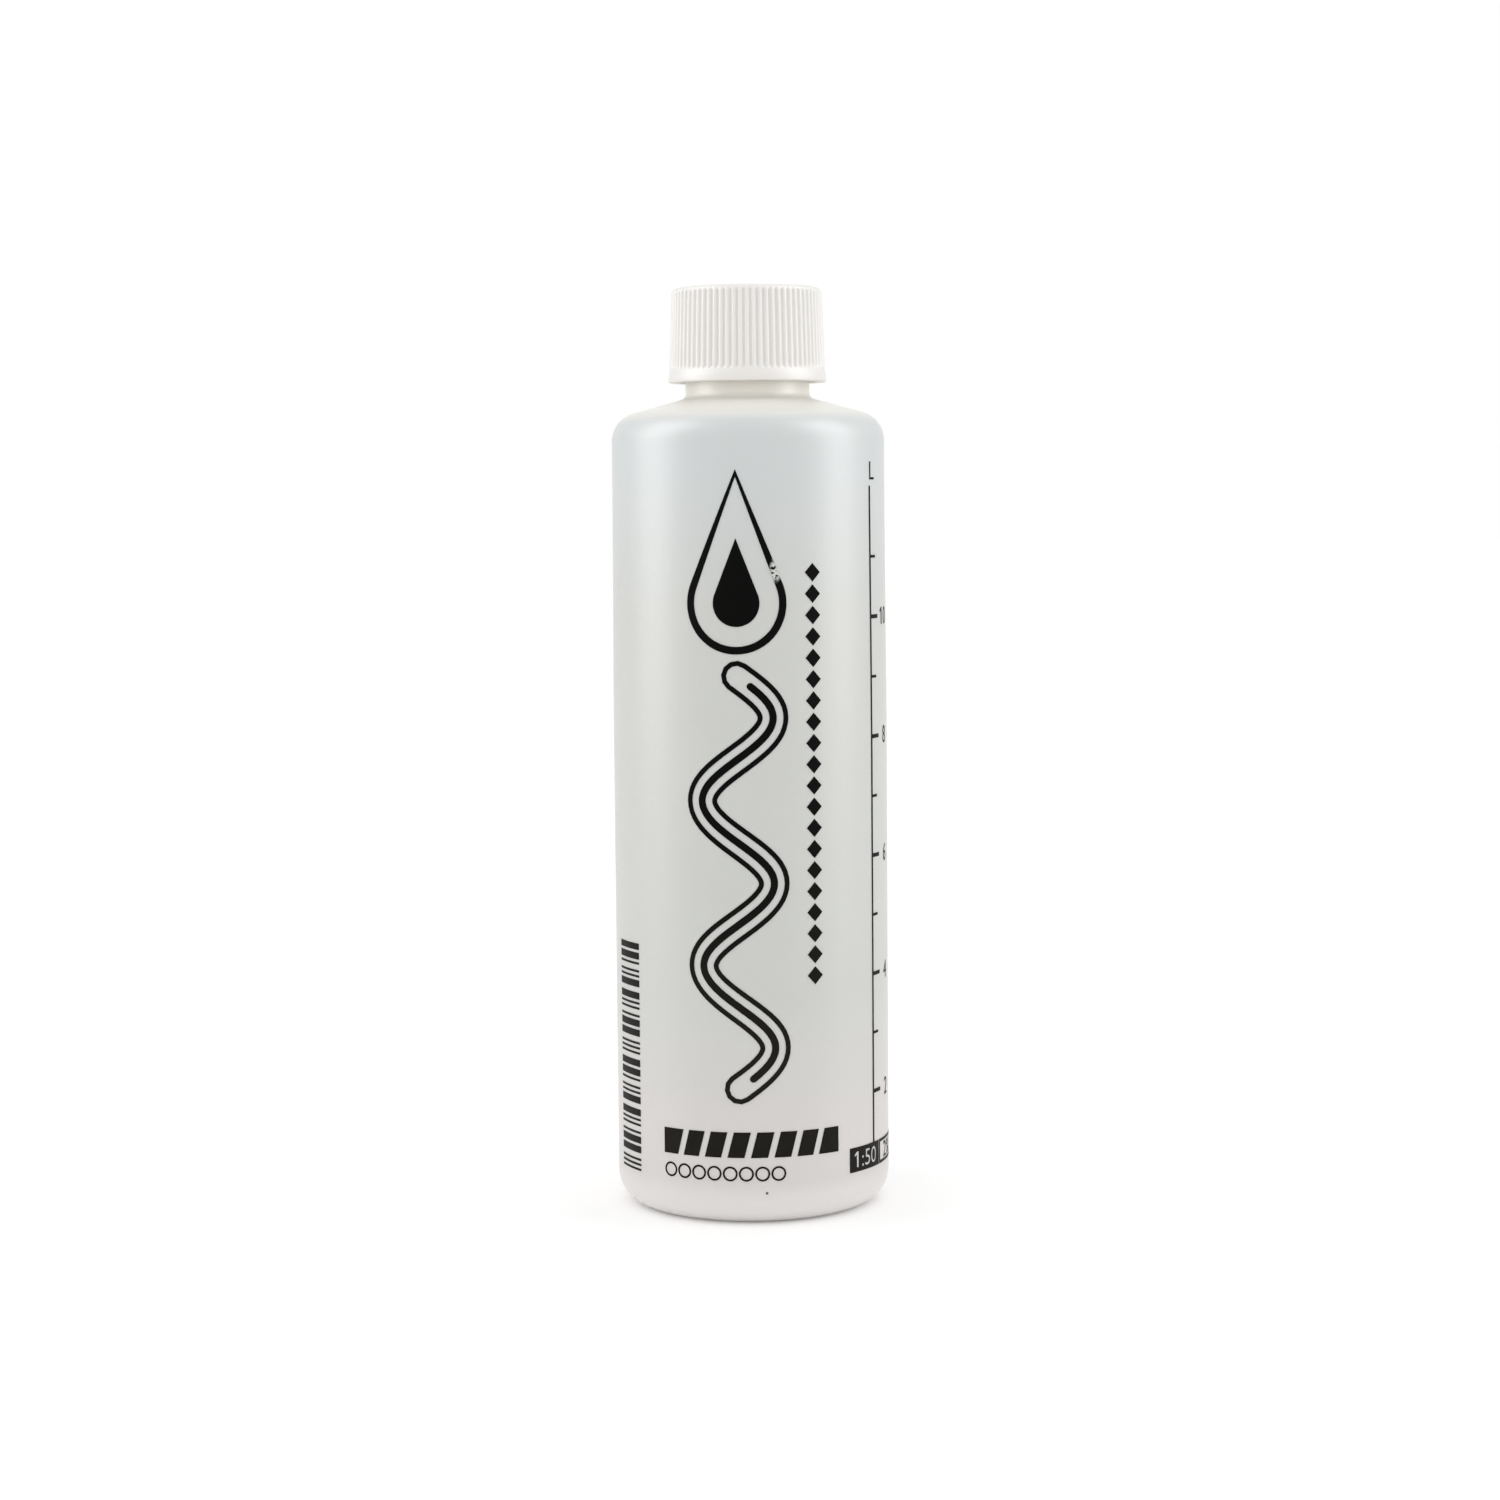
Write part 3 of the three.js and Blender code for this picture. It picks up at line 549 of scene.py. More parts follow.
def bottle_profile(sizes):
    """The bottle's section from the middle of the underside, up the outside and down the inside."""
    side_top = side_top_of(sizes)
    shoulder = sizes.height - sizes.neck_height
    rim = sizes.radius - sizes.base_corner - sizes.stand_width
    bore = sizes.neck_radius - sizes.neck_wall
    lip = sizes.lip_round
    slope = degrees(sizes.shoulder_slope)
    fillet = sizes.neck_fillet
    reach = fillet * tan((pi / 2 - sizes.shoulder_slope) / 2)
    drop = sizes.wall / cos(sizes.shoulder_slope)
    inner_neck = shoulder + sizes.neck_wall * tan(sizes.shoulder_slope) - drop
    under = [(r, dish_height(r, sizes)) for r in np.linspace(0, rim, 24)]
    inside = [(r, z + sizes.base_wall) for r, z in reversed(under)]
    body = body_profile(0, sizes, side_top)
    fillet_arc = arc(sizes.neck_radius + fillet, shoulder + reach, fillet, -90 - slope, -180, 6)
    neck = spaced([(sizes.neck_radius, shoulder + fillet), (sizes.neck_radius, sizes.height - lip)],
                  THREAD_ROW)
    lip_out = arc(sizes.neck_radius - lip, sizes.height - lip, lip, 0, 90, 4)
    lip_in = arc(bore + lip, sizes.height - lip, lip, 90, 180, 4)
    ease = 0.001
    bore_line = spaced([(bore, sizes.height - 2 * lip), (bore, inner_neck + ease)], BORE_ROW)
    turn = [(bore + ease * 0.3, inner_neck + ease * 0.1)]
    inner_body = list(reversed(body_profile(sizes.wall, sizes, side_top)))
    return (spaced(under + body, BODY_ROW) + fillet_arc + neck + lip_out + lip_in + bore_line + turn
            + spaced(inner_body, BODY_ROW) + inside)


PARTING_STOP = 0.001


def make_bottle(sizes, thread, material):
    """The blow-moulded bottle with its neck, thread and the mould's two parting lines."""
    profile = np.array(bottle_profile(sizes))
    spread = sizes.parting_width / sizes.radius
    angles = np.linspace(0, 2 * pi, 180, endpoint=False)
    close = np.linspace(-spread, spread, 9)
    angles = np.unique(np.round(np.mod(np.concatenate([angles, close, pi + close]), 2 * pi), 6))
    radii, heights = all_round(profile, angles)
    lip = int(np.argmax(profile[:, 1]))
    outside = np.arange(len(profile))[:, None] <= lip
    on_neck = outside & (np.abs(radii - sizes.neck_radius) < 1e-6)
    stand_out = ridge(angles[None, :], heights, thread, sizes.height - thread.top_drop)
    off_plane = np.abs(sizes.radius * np.sin(angles))[None, :] / (sizes.parting_width / 2)
    faded = np.clip((heights - sizes.parting_foot) / sizes.parting_fade, 0, 1)
    parting = np.clip(1 - off_plane ** 2, 0, 1) * faded
    on_body = outside & (heights < sizes.height - sizes.neck_height - PARTING_STOP)
    radii = radii + np.where(on_neck, stand_out * thread.height, 0)
    radii = radii + np.where(on_body, parting * sizes.parting_height, 0)
    from_neck = np.clip((radii - sizes.neck_radius) / (sizes.radius - sizes.neck_radius), 0, 1)
    radii = radii - from_neck * drawn_in(heights, sizes)
    piece = turned_mesh("bottle_shell", radii, heights, angles)
    finish_piece(piece, "bottle", "natural_plastic", material, "bottle")


SEAM_END = 0.05


def make_pinch_seam(sizes, material):
    """The welded seam that the mould pinched across the dished base."""
    mesh = bmesh.new()
    rows = []
    for along in np.linspace(-1, 1, 61):
        x = along * sizes.seam_length / 2
        swell = max((1 - along ** 8) ** 0.5, SEAM_END)
        under = dish_height(abs(x), sizes)
        row = []
        for angle in np.linspace(0, 2 * pi, 16, endpoint=False):
            y = cos(angle) * sizes.seam_width / 2 * swell
            z = under + sin(angle) * sizes.seam_height * swell
            row.append(mesh.verts.new((x, y, z)))
        rows.append(row)
    for low, high in zip(rows, rows[1:]):
        for k in range(len(low)):
            after = (k + 1) % len(low)
            mesh.faces.new((low[k], low[after], high[after], high[k]))
    mesh.faces.new(rows[0])
    mesh.faces.new(rows[-1])
    bmesh.ops.recalc_face_normals(mesh, faces=mesh.faces)
    piece = object_from("pinch_seam", mesh)
    finish_piece(piece, "bottle", "natural_plastic", material)


GROOVE_MOUTH, GROOVE_FLANK = 0.62, 0.42
GRIP_RISE, GRIP_FALL = 0.0005, 0.0006


def rib_shape(angles, ribs):
    """Depth of the grip's grooves from 0 on a rib to 1 in a groove's middle."""
    phase = np.mod(angles * ribs / (2 * pi), 1.0)
    off = np.abs(phase - 0.5) * 2
    return np.clip((GROOVE_MOUTH - off) / GROOVE_FLANK, 0, 1)


def cap_profile(cap, bottle):
    """The cap's section from the middle of its inside top, down the inside and up the outside."""
    inner, bead_top = cap.inner_radius, bottle.height - cap.bead_drop
    foot_radius = inner + cap.skirt_foot_wall
    top_radius = inner + cap.skirt_top_wall
    skirt_foot = cap.foot + cap.band_height + cap.band_flare
    edge, ease = cap.edge_round, 0.00004
    inside = spaced([(0, LINER_HIGH[2]), (inner, LINER_HIGH[2])], AXIS_ROW) + [(inner, bead_top)]
    inside += arc(inner - cap.bead_shift, bead_top - cap.bead_radius, cap.bead_radius, 90, 270, 8)[1:-1]
    bore = spaced([(inner, bead_top - 2 * cap.bead_radius), (inner, cap.foot + edge)], THREAD_ROW)
    foot = [(inner + edge, cap.foot), (cap.band_radius - edge, cap.foot)]
    foot += arc(cap.band_radius - edge, cap.foot + edge, edge, -90, 0, 4)[1:]
    band = [(cap.band_radius, cap.foot + cap.band_height * 0.9)]
    flare = [(cap.band_radius - ease, cap.foot + cap.band_height),
             (foot_radius + ease, skirt_foot - 2.5 * ease), (foot_radius, skirt_foot)]
    skirt = spaced([(foot_radius, skirt_foot), (top_radius, cap.top - cap.top_round)], SKIRT_ROW)[1:]
    crown = arc(top_radius - cap.top_round, cap.top - cap.top_round, cap.top_round, 0, 90, 10)[1:]
    gate, pit = cap.gate_radius, cap.top - cap.gate_depth
    stub = pit + cap.gate_depth * 0.6
    lid = spaced([(top_radius - cap.top_round, cap.top), (gate, cap.top)], AXIS_ROW)[1:]
    mark = [(gate * 0.8, pit), (gate * 0.4, pit), (gate * 0.3, stub), (0, stub)]
    return inside + bore + foot + band + flare + skirt + crown + lid + mark


def make_cap(cap, bottle, thread, material):
    """The ribbed screw cap with its inside thread and retaining bead."""
    profile = np.array(cap_profile(cap, bottle))
    angles = np.linspace(0, 2 * pi, cap.ribs * 8, endpoint=False)
    radii, heights = all_round(profile, angles)
    lowest = int(np.argmin(profile[:, 1]))
    inside = np.arange(len(profile))[:, None] <= lowest
    top_end = bottle.height - thread.top_drop - (thread.foot + thread.crest) / 2 - thread.axial_play
    stand_in = ridge(angles[None, :], heights, thread, top_end)
    on_bore = inside & (np.abs(radii - cap.inner_radius) < 1e-6)
    radii = radii - np.where(on_bore, stand_in * thread.cap_height, 0)
    skirt_foot = cap.foot + cap.band_height + cap.band_flare
    grip_top = cap.top - cap.top_round * 0.45
    rise = np.clip((heights - skirt_foot) / GRIP_RISE, 0, 1)
    fall = np.clip((grip_top - heights) / GRIP_FALL, 0, 1)
    depth = rib_shape(angles, cap.ribs)[None, :] * rise * fall * cap.groove_depth
    radii = radii - np.where(inside, 0, depth)
    piece = turned_mesh("ribbed_cap", radii, heights, angles)
    finish_piece(piece, "screw_cap", "white_plastic", material, "screw_cap")


def make_liner(cap, material):
    """The sealing disc with soft edges."""
    radius = (LINER_HIGH[0] - LINER_LOW[0]) / 2
    low, high = LINER_LOW[2], LINER_HIGH[2]
    soft = cap.edge_round
    lower = [(0, low), (radius * 0.5, low)] + arc(radius - soft, low + soft, soft, -90, 0, 4)
    upper = arc(radius - soft, high - soft, soft, 0, 90, 4) + [(radius * 0.5, high), (0, high)]
    profile = np.array(lower + upper)
    angles = np.linspace(0, 2 * pi, 96, endpoint=False)
    radii, heights = all_round(profile, angles)
    piece = turned_mesh("sealing_disc", radii, heights, angles)
    finish_piece(piece, "cap_liner", "liner_foam", material, "cap_liner")


# Print: closed loops of (across, up) in millimetres on the unrolled wall

def rectangle(left, bottom, width, height):
    """A rectangle's corners."""
    return [(left, bottom), (left + width, bottom), (left + width, bottom + height), (left, bottom + height)]


def offset_line(points, distance, closed):
    """The line moved to its left by a distance."""
    points = np.array(points, float)
    if closed:
        before, after = np.roll(points, 1, axis=0), np.roll(points, -1, axis=0)
    else:
        before = np.vstack([points[:1], points[:-1]])
        after = np.vstack([points[1:], points[-1:]])
    along = after - before
    along /= np.linalg.norm(along, axis=1)[:, None]
    return points + distance * np.column_stack([-along[:, 1], along[:, 0]])


def stroke(points, width):
    """A stroke's outline with round ends."""
    points = np.array(points, float)
    left = offset_line(points, width / 2, False)
    right = offset_line(points, -width / 2, False)
    ends = []
    for centre, start in ((points[-1], right[-1]), (points[0], left[0])):
        angle = degrees(np.arctan2(*(start - centre)[::-1]))
        ends.append(arc(*centre, width / 2, angle, angle + 180, 6)[1:-1])
    return list(map(tuple, right)) + ends[0] + list(map(tuple, left[::-1])) + ends[1]


FLAG = {"stem": 0.03, "top": 0.02, "reach": 0.24, "upper": 0.82, "lower": 0.69, "root": 0.80}


def flagged(loop, tallest):
    """The loop as it is, but for the font's figure 1, a bare bar that gets its flag and a wider stem."""
    (left, low), (right, high) = loop.min(axis=0), loop.max(axis=0)
    tall = high - low
    bare_bar = tall >= 0.9 * tallest and right - left <= 0.25 * tall
    if not bare_bar:
        return loop
    stem, top, reach, upper, lower, root = (share * tall for share in FLAG.values())
    left, tip = left - stem, left - reach
    return np.array([(left, low), (right, low), (right, high), (left + top, high),
                     (tip, low + upper), (tip, low + lower), (left, low + root)])


def text_loops(words, height, centre, up):
    """The outlines of plain figures of a height, centred across a place, with their foot at a height."""
    letters = bpy.data.curves.new("figures", "FONT")
    letters.body = words
    letters.align_x = "CENTER"
    holder = bpy.data.objects.new("figures", letters)
    bpy.context.scene.collection.objects.link(holder)
    bpy.context.view_layer.update()
    outlines = holder.to_curve(bpy.context.evaluated_depsgraph_get())
    loops = []
    for spline in outlines.splines:
        points = spline.bezier_points
        loop = []
        for first, second in zip(points, list(points[1:]) + [points[0]]):
            loop += [(p.x, p.y) for p in interpolate_bezier(
                first.co, first.handle_right, second.handle_left, second.co, 5)[:-1]]
        loops.append(np.array(loop))
    holder.to_curve_clear()
    bpy.data.objects.remove(holder)
    bpy.data.curves.remove(letters)
    lowest = min(loop[:, 1].min() for loop in loops)
    highest = max(loop[:, 1].max() for loop in loops)
    factor = height / (highest - lowest)
    loops = [flagged(loop, highest - lowest) for loop in loops]
    return [[(centre + x * factor, up + (y - lowest) * factor) for x, y in loop] for loop in loops]


def filled(loops):
    """Flat vertices and triangles of the loops, filled so that a loop within a loop is a hole."""
    curve = bpy.data.curves.new("outline", "CURVE")
    curve.dimensions = "2D"
    curve.fill_mode = "BOTH"
    for loop in loops:
        spline = curve.splines.new("POLY")
        spline.points.add(len(loop) - 1)
        spline.points.foreach_set("co", np.array([(x, y, 0, 1) for x, y in loop]).ravel())
        spline.use_cyclic_u = True
    holder = bpy.data.objects.new("outline", curve)
    mesh = bmesh.new()
    mesh.from_mesh(holder.to_mesh())
    holder.to_mesh_clear()
    bpy.data.objects.remove(holder)
    bpy.data.curves.remove(curve)
    return mesh


FACETS = (0.9, 6.0)


def cut_into_facets(mesh):
    """Cuts a flat mesh across and up into facets small enough to follow the wall."""
    for axis, facet in enumerate(FACETS):
        normal = Vector((0, 0, 0))
        normal[axis] = 1
        reach = [vert.co[axis] for vert in mesh.verts]
        for cut in np.arange(np.ceil(min(reach) / facet) * facet, max(reach), facet):
            geometry = mesh.verts[:] + mesh.edges[:] + mesh.faces[:]
            bmesh.ops.bisect_plane(mesh, geom=geometry, dist=1e-5, plane_co=normal * cut, plane_no=normal)


def print_piece(name, loops, across, sizes, ink, material, nodes):
    """A film of ink from closed loops about a place across the wall, bent round the bottle."""
    mesh = filled(loops)
    bmesh.ops.remove_doubles(mesh, verts=mesh.verts, dist=1e-4)
    cut_into_facets(mesh)
    bmesh.ops.dissolve_degenerate(mesh, dist=1e-5, edges=mesh.edges)
    for face in mesh.faces:
        if face.normal.z < 0:
            face.normal_flip()
    copied = bmesh.ops.duplicate(mesh, geom=mesh.faces[:])
    front = {item for item in copied["geom"] if isinstance(item, bmesh.types.BMVert)}
    pairs = copied["vert_map"]
    rim = [edge.verts[:] for edge in mesh.edges if edge.is_boundary and edge.verts[0] not in front]
    for first, second in rim:
        mesh.faces.new((first, second, pairs[second], pairs[first]))
    for vert in mesh.verts:
        lift = 1.0 if vert in front else 0.5
        radius = sizes.radius - drawn_in(vert.co.y * MM, sizes) + ink.film * lift
        angle = (across + vert.co.x) * MM / sizes.radius
        vert.co = Vector((radius * sin(angle), -radius * cos(angle), vert.co.y * MM))
    bmesh.ops.recalc_face_normals(mesh, faces=mesh.faces)
    piece = object_from(name, mesh, crease=30.0)
    finish_piece(piece, "bottle", "black_ink", material, *nodes)


SCALES = (
    {"mix": "50", "across": 26.45, "side": 1, "per_mark": 1.0, "percent": "2"},
    {"mix": "25", "across": 52.4, "side": -1, "per_mark": 0.5, "percent": "4"},
)
RATIO_SHIFT, PERCENT_SHIFT = 2.65, 7.05
LONG_TICK, SHORT_TICK = (3.05, 0.72), (2.15, 0.5)
UNIT_GAP, UNIT_SHIFT = 1.1, 0.8
WORDS_SHARE = 0.66


def comb(marks, foot, head, side, width):
    """A scale's line with its ticks as one outline, every second tick longer and heavier."""
    plain, toothed = -side * width / 2, side * width / 2
    outline = [(plain, foot), (toothed, foot)]
    for mark, height in marks:
        length, weight = SHORT_TICK if mark % 2 else LONG_TICK
        reach, half = side * length, weight / 2
        outline += [(toothed, height - half), (reach, height - half), (reach, height + half),
                    (toothed, height + half)]
    return outline + [(toothed, head), (plain, head)]


def make_scale(scale, sizes, ink, material):
    """One filling scale with its figures, its unit and its ratio as a proportion and a percentage."""
    mix, across, side = scale["mix"], scale["across"], scale["side"]
    foot, zero = ink.scale_foot / MM, ink.scale_zero / MM
    head = (side_top_of(sizes) - ink.scale_headroom) / MM
    step = (head - zero) / (ink.last_mark + ink.run_on)
    marks = [(mark, zero + mark * step) for mark in range(ink.first_mark, ink.last_mark + 1)]
    width, height = ink.line_width / MM, ink.figure_height / MM

    def put(name, loops, middle, *nodes):
        print_piece(name, loops, middle, sizes, ink, material, nodes)

    put(f"scale_{mix}_comb", [comb(marks, foot, head, side, width)], across, f"scale_{mix}_line")
    for mark, level in marks:
        if mark % 2 == 0:
            words = str(int(mark * scale["per_mark"]))
            nodes = [f"scale_{mix}_figure_{words}_{place + 1}" for place in range(len(words))]
            figures = text_loops(words, height, side * ink.figure_inset / MM, level - height / 2)
            put(f"scale_{mix}_mark_{words}", figures, across, *nodes)
    put(f"scale_{mix}_litre_sign", text_loops("L", height, side * UNIT_SHIFT, head + UNIT_GAP), across,
        f"scale_{mix}_unit")

    wide, high, low = ink.label_width / MM, ink.label_height / MM, ink.label_foot / MM
    field = rectangle(-wide / 2, low, wide, high)
    inner = rectangle(-wide / 2 + width, low + width, wide - 2 * width, high - 2 * width)
    words_high = high * WORDS_SHARE
    words_low = low + (high - words_high) / 2
    put(f"ratio_{mix}_label", [field] + text_loops(f"1:{mix}", words_high, 0, words_low),
        across - side * RATIO_SHIFT, f"ratio_{mix}")
    percent = text_loops(f"{scale['percent']}%", words_high, 0, words_low)
    put(f"percent_{mix}_label", [field, inner] + percent, across + side * PERCENT_SHIFT,
        f"percent_{mix}_frame", *[f"percent_{mix}_sign_{place}" for place in range(1, 5)])


BARS = {"across": -27.6, "width": 7.6, "foot": 8.0, "height": 41.6, "unit": 0.42, "gap": 0.5}


def make_bars(sizes, ink, material):
    """The field of thin and thick bars, with free ends."""
    loops = []
    up, count = 0.0, 0
    while up < BARS["height"] - BARS["gap"]:
        thick = min(BARS["unit"] * (3 if count % 5 > 2 else 1), BARS["height"] - up)
        loops.append(rectangle(-BARS["width"] / 2, BARS["foot"] + up, BARS["width"], thick))
        up += thick + BARS["gap"] * (2 if count % 3 > 1 else 1)
        count += 1
    print_piece("bar_print", loops, BARS["across"], sizes, ink, material, ["bar_field"])


def drop_loop(radius, centre, point, steps=64):
    """A drop's outline from its point round its belly."""
    spread = degrees(acos(radius / (point - centre)))
    return [(0, point)] + arc(0, centre, radius, 90 + spread, 450 - spread, steps)


def wave_points(foot, top, inset, halves, reach, steps=120):
    """The wave's middle line between two heights, left out for a length at both ends."""
    heights = np.linspace(inset, top - foot - inset, steps + 1)
    return [(reach * sin(pi * halves * up / (top - foot)), foot + up) for up in heights]


def outlined(loop, line):
    """The two edges of a line of ink along a closed loop that runs anticlockwise."""
    return [[tuple(point) for point in offset_line(loop, side * line / 2, True)] for side in (-1, 1)]


MOTIF = {"across": -2.35, "headroom": 5.9}
DROP = {"radius": 8.3, "length": 31.0, "line": 1.35, "core_share": 0.5}
WAVE = {"foot": 25.0, "clearance": 4.5, "halves": 5, "reach": 6.4, "width": 4.6, "line": 0.9, "core": 1.3,
        "core_inset": 1.8}
CHAIN = {"across": 11.6, "foot": 43.0, "count": 20, "pitch": 3.76, "reach": 1.5, "gap": 0.5}
BAND = {"across": -0.5, "foot": 12.6, "height": 4.6, "count": 8, "pitch": 4.2, "gap": 1.15, "slant": 1.2}
RINGS = {"across": -5.7, "height": 9.7, "count": 8, "pitch": 2.9, "radius": 1.35, "line": 0.35}


def make_motif(sizes, ink, material):
    """The drop over a poured wave."""
    point = side_top_of(sizes) / MM - MOTIF["headroom"]
    centre = point - DROP["length"] + DROP["radius"]
    share = DROP["core_share"]
    foot, head = WAVE["foot"], point - DROP["length"] - WAVE["clearance"]
    ribbon = stroke(wave_points(foot, head, 0, WAVE["halves"], WAVE["reach"]), WAVE["width"])
    core = wave_points(foot, head, WAVE["core_inset"], WAVE["halves"], WAVE["reach"])
    pieces = {
        "drop_line": (outlined(drop_loop(DROP["radius"], centre, point), DROP["line"]), "drop_outline"),
        "drop_heart": ([drop_loop(DROP["radius"] * share, centre, centre + (point - centre) * share)],
                       "drop_core"),
        "wave_line": (outlined(ribbon, WAVE["line"]), "wave_outline"),
        "wave_heart": ([stroke(core, WAVE["core"])], "wave_core"),
    }
    for name, (loops, node) in pieces.items():
        print_piece(name, loops, MOTIF["across"], sizes, ink, material, [node])


def make_trims(sizes, ink, material):
    """The chain of diamonds beside the motif, and the slanted bars and the rings under it."""
    diamonds = []
    for k in range(CHAIN["count"]):
        foot = CHAIN["foot"] + k * CHAIN["pitch"]
        middle, reach, gap = foot + CHAIN["pitch"] / 2, CHAIN["reach"], CHAIN["gap"] / 2
        head = foot + CHAIN["pitch"]
        diamonds.append([(0, foot + gap), (reach, middle), (0, head - gap), (-reach, middle)])
    print_piece("diamonds", diamonds, CHAIN["across"], sizes, ink, material, ["diamond_chain"])

    bars = []
    low, high = BAND["foot"], BAND["foot"] + BAND["height"]
    for k in range(BAND["count"]):
        inner_left, inner_right = int(k > 0), int(k < BAND["count"] - 1)
        foot = (k - BAND["count"] / 2) * BAND["pitch"]
        left = foot + inner_left * BAND["gap"] / 2
        right = foot + BAND["pitch"] - inner_right * BAND["gap"] / 2
        lean_left, lean_right = inner_left * BAND["slant"] / 2, inner_right * BAND["slant"] / 2
        bars.append([(left - lean_left, low), (right - lean_right, low), (right + lean_right, high),
                     (left + lean_left, high)])
    print_piece("slanted_bars", bars, BAND["across"], sizes, ink, material, ["slanted_band"])

    rings = []
    for k in range(RINGS["count"]):
        middle = (k - (RINGS["count"] - 1) / 2) * RINGS["pitch"]
        for radius in (RINGS["radius"], RINGS["radius"] - RINGS["line"]):
            rings.append(arc(middle, RINGS["height"], radius, 0, 350, 35))
    print_piece("rings", rings, RINGS["across"], sizes, ink, material, ["ring_chain"])


# Studio

def seen_as_white(tree):
    """A factor of 1 for what the camera, a gloss or a clear piece sees, and 0 for what lights the bottle."""
    path = add_node(tree, "ShaderNodeLightPath")
    factor = path.outputs["Is Camera Ray"]
    for kind in ("Is Glossy Ray", "Is Transmission Ray"):
        either = add_node(tree, "ShaderNodeMath", operation="MAXIMUM")
        tree.links.new(factor, either.inputs[0])
        tree.links.new(path.outputs[kind], either.inputs[1])
        factor = either.outputs[0]
    return factor


def make_world(level):
    """Even light from all round, seen as white."""
    world = bpy.data.worlds.new("studio")
    world.use_nodes = True
    tree = world.node_tree
    light = tree.nodes["Background"]
    light.inputs["Color"].default_value = (1, 1, 1, 1)
    light.inputs["Strength"].default_value = level
    white = add_node(tree, "ShaderNodeBackground", {"Color": (1, 1, 1, 1), "Strength": 1.0})
    mix = add_node(tree, "ShaderNodeMixShader")
    tree.links.new(seen_as_white(tree), mix.inputs["Fac"])
    tree.links.new(light.outputs[0], mix.inputs[1])
    tree.links.new(white.outputs[0], mix.inputs[2])
    tree.links.new(mix.outputs[0], tree.nodes["World Output"].inputs["Surface"])
    bpy.context.scene.world = world


def make_floor(lift):
    """A pale floor that the camera sees as white, but for the bottle's soft shadow."""
    mesh = bmesh.new()
    bmesh.ops.create_grid(mesh, x_segments=1, y_segments=1, size=6.0)
    floor = object_from("floor", mesh)
    material = bpy.data.materials.new("pale_floor")
    material.use_nodes = True
    tree = material.node_tree
    shader = tree.nodes["Principled BSDF"]
    shader.inputs["Base Color"].default_value = (0.88, 0.88, 0.88, 1)
    shader.inputs["Roughness"].default_value = 0.9
    shader.inputs["Specular IOR Level"].default_value = 0.0
    glow = add_node(tree, "ShaderNodeEmission", {"Color": (1, 1, 1, 1)})
    strength = add_node(tree, "ShaderNodeMath", {1: lift}, operation="MULTIPLY")
    total = add_node(tree, "ShaderNodeAddShader")
    tree.links.new(seen_as_white(tree), strength.inputs[0])
    tree.links.new(strength.outputs[0], glow.inputs["Strength"])
    tree.links.new(shader.outputs[0], total.inputs[0])
    tree.links.new(glow.outputs[0], total.inputs[1])
    tree.links.new(total.outputs[0], tree.nodes["Material Output"].inputs["Surface"])
    floor.data.materials.append(material)


def add_light(name, azimuth, studio, power):
    """A tall soft light that stands on the floor beside the bottle and faces the light's aim."""
    data = bpy.data.lights.new(name, "AREA")
    data.shape = "RECTANGLE"
    data.size, data.size_y = studio.light_size
    data.energy = power
    light = bpy.data.objects.new(name, data)
    away = studio.light_distance
    place = Vector((away * sin(azimuth), -away * cos(azimuth), data.size_y / 2))
    light.location = place
    light.rotation_euler = (Vector(studio.light_aim) - place).to_track_quat("-Z", "Y").to_euler()
    bpy.context.scene.collection.objects.link(light)
    return light


def make_studio(studio):
    """The floor, the light and the camera."""
    make_world(studio.world_level)
    make_floor(studio.floor_lift)
    for side, azimuth in (("left", studio.left_azimuth), ("right", studio.right_azimuth)):
        add_light(f"{side}_light", azimuth, studio, studio.side_power)
        strip = add_light(f"{side}_strip", azimuth, studio, studio.strip_power)
        strip.visible_diffuse = False
    data = bpy.data.cameras.new("camera")
    data.lens = studio.lens
    data.sensor_width = 36
    data.clip_start = 0.01
    camera = bpy.data.objects.new("camera", data)
    pitch = Matrix.Rotation(pi / 2 - studio.camera_pitch, 4, "X")
    roll = Matrix.Rotation(studio.camera_roll, 4, "Z")
    camera.matrix_world = Matrix.Translation(studio.camera_place) @ pitch @ roll
    scene = bpy.context.scene
    scene.collection.objects.link(camera)
    scene.camera = camera
    scene.view_settings.view_transform = "Standard"


class BottlePiece:
    """What every operator here shares."""
    bl_options = {"REGISTER", "UNDO"}


def for_print(scene):
    """What every print is made from: the bottle's sizes, the print's sizes and the ink."""
    return read(scene.bottle_sizes), read(scene.bottle_print), bpy.data.materials["screen_ink"]


class BOTTLE_OT_materials(BottlePiece, Operator):
    """Make the plastics and the ink"""
    bl_idname = "bottle.materials"
    bl_label = "Materials"

    def execute(self, context):
        moulded_surface()
        finish = read(context.scene.bottle_finish)
        sizes = read(context.scene.bottle_sizes)
        wall_material(finish, sizes)
        cap_material(finish)
        liner_material(finish)
        ink_material(finish, sizes)
        return {"FINISHED"}


class BOTTLE_OT_shell(BottlePiece, Operator):
    """Make the blow-moulded bottle"""
    bl_idname = "bottle.shell"
    bl_label = "Bottle"

    def execute(self, context):
        sizes = read(context.scene.bottle_sizes)
        material = bpy.data.materials["milky_polyethylene"]
        make_bottle(sizes, read(context.scene.bottle_thread), material)
        make_pinch_seam(sizes, material)
        return {"FINISHED"}


class BOTTLE_OT_cap(BottlePiece, Operator):
    """Make the ribbed screw cap"""
    bl_idname = "bottle.cap"
    bl_label = "Screw cap"

    def execute(self, context):
        scene = context.scene
        make_cap(read(scene.bottle_cap), read(scene.bottle_sizes), read(scene.bottle_thread),
                 bpy.data.materials["white_polypropylene"])
        return {"FINISHED"}


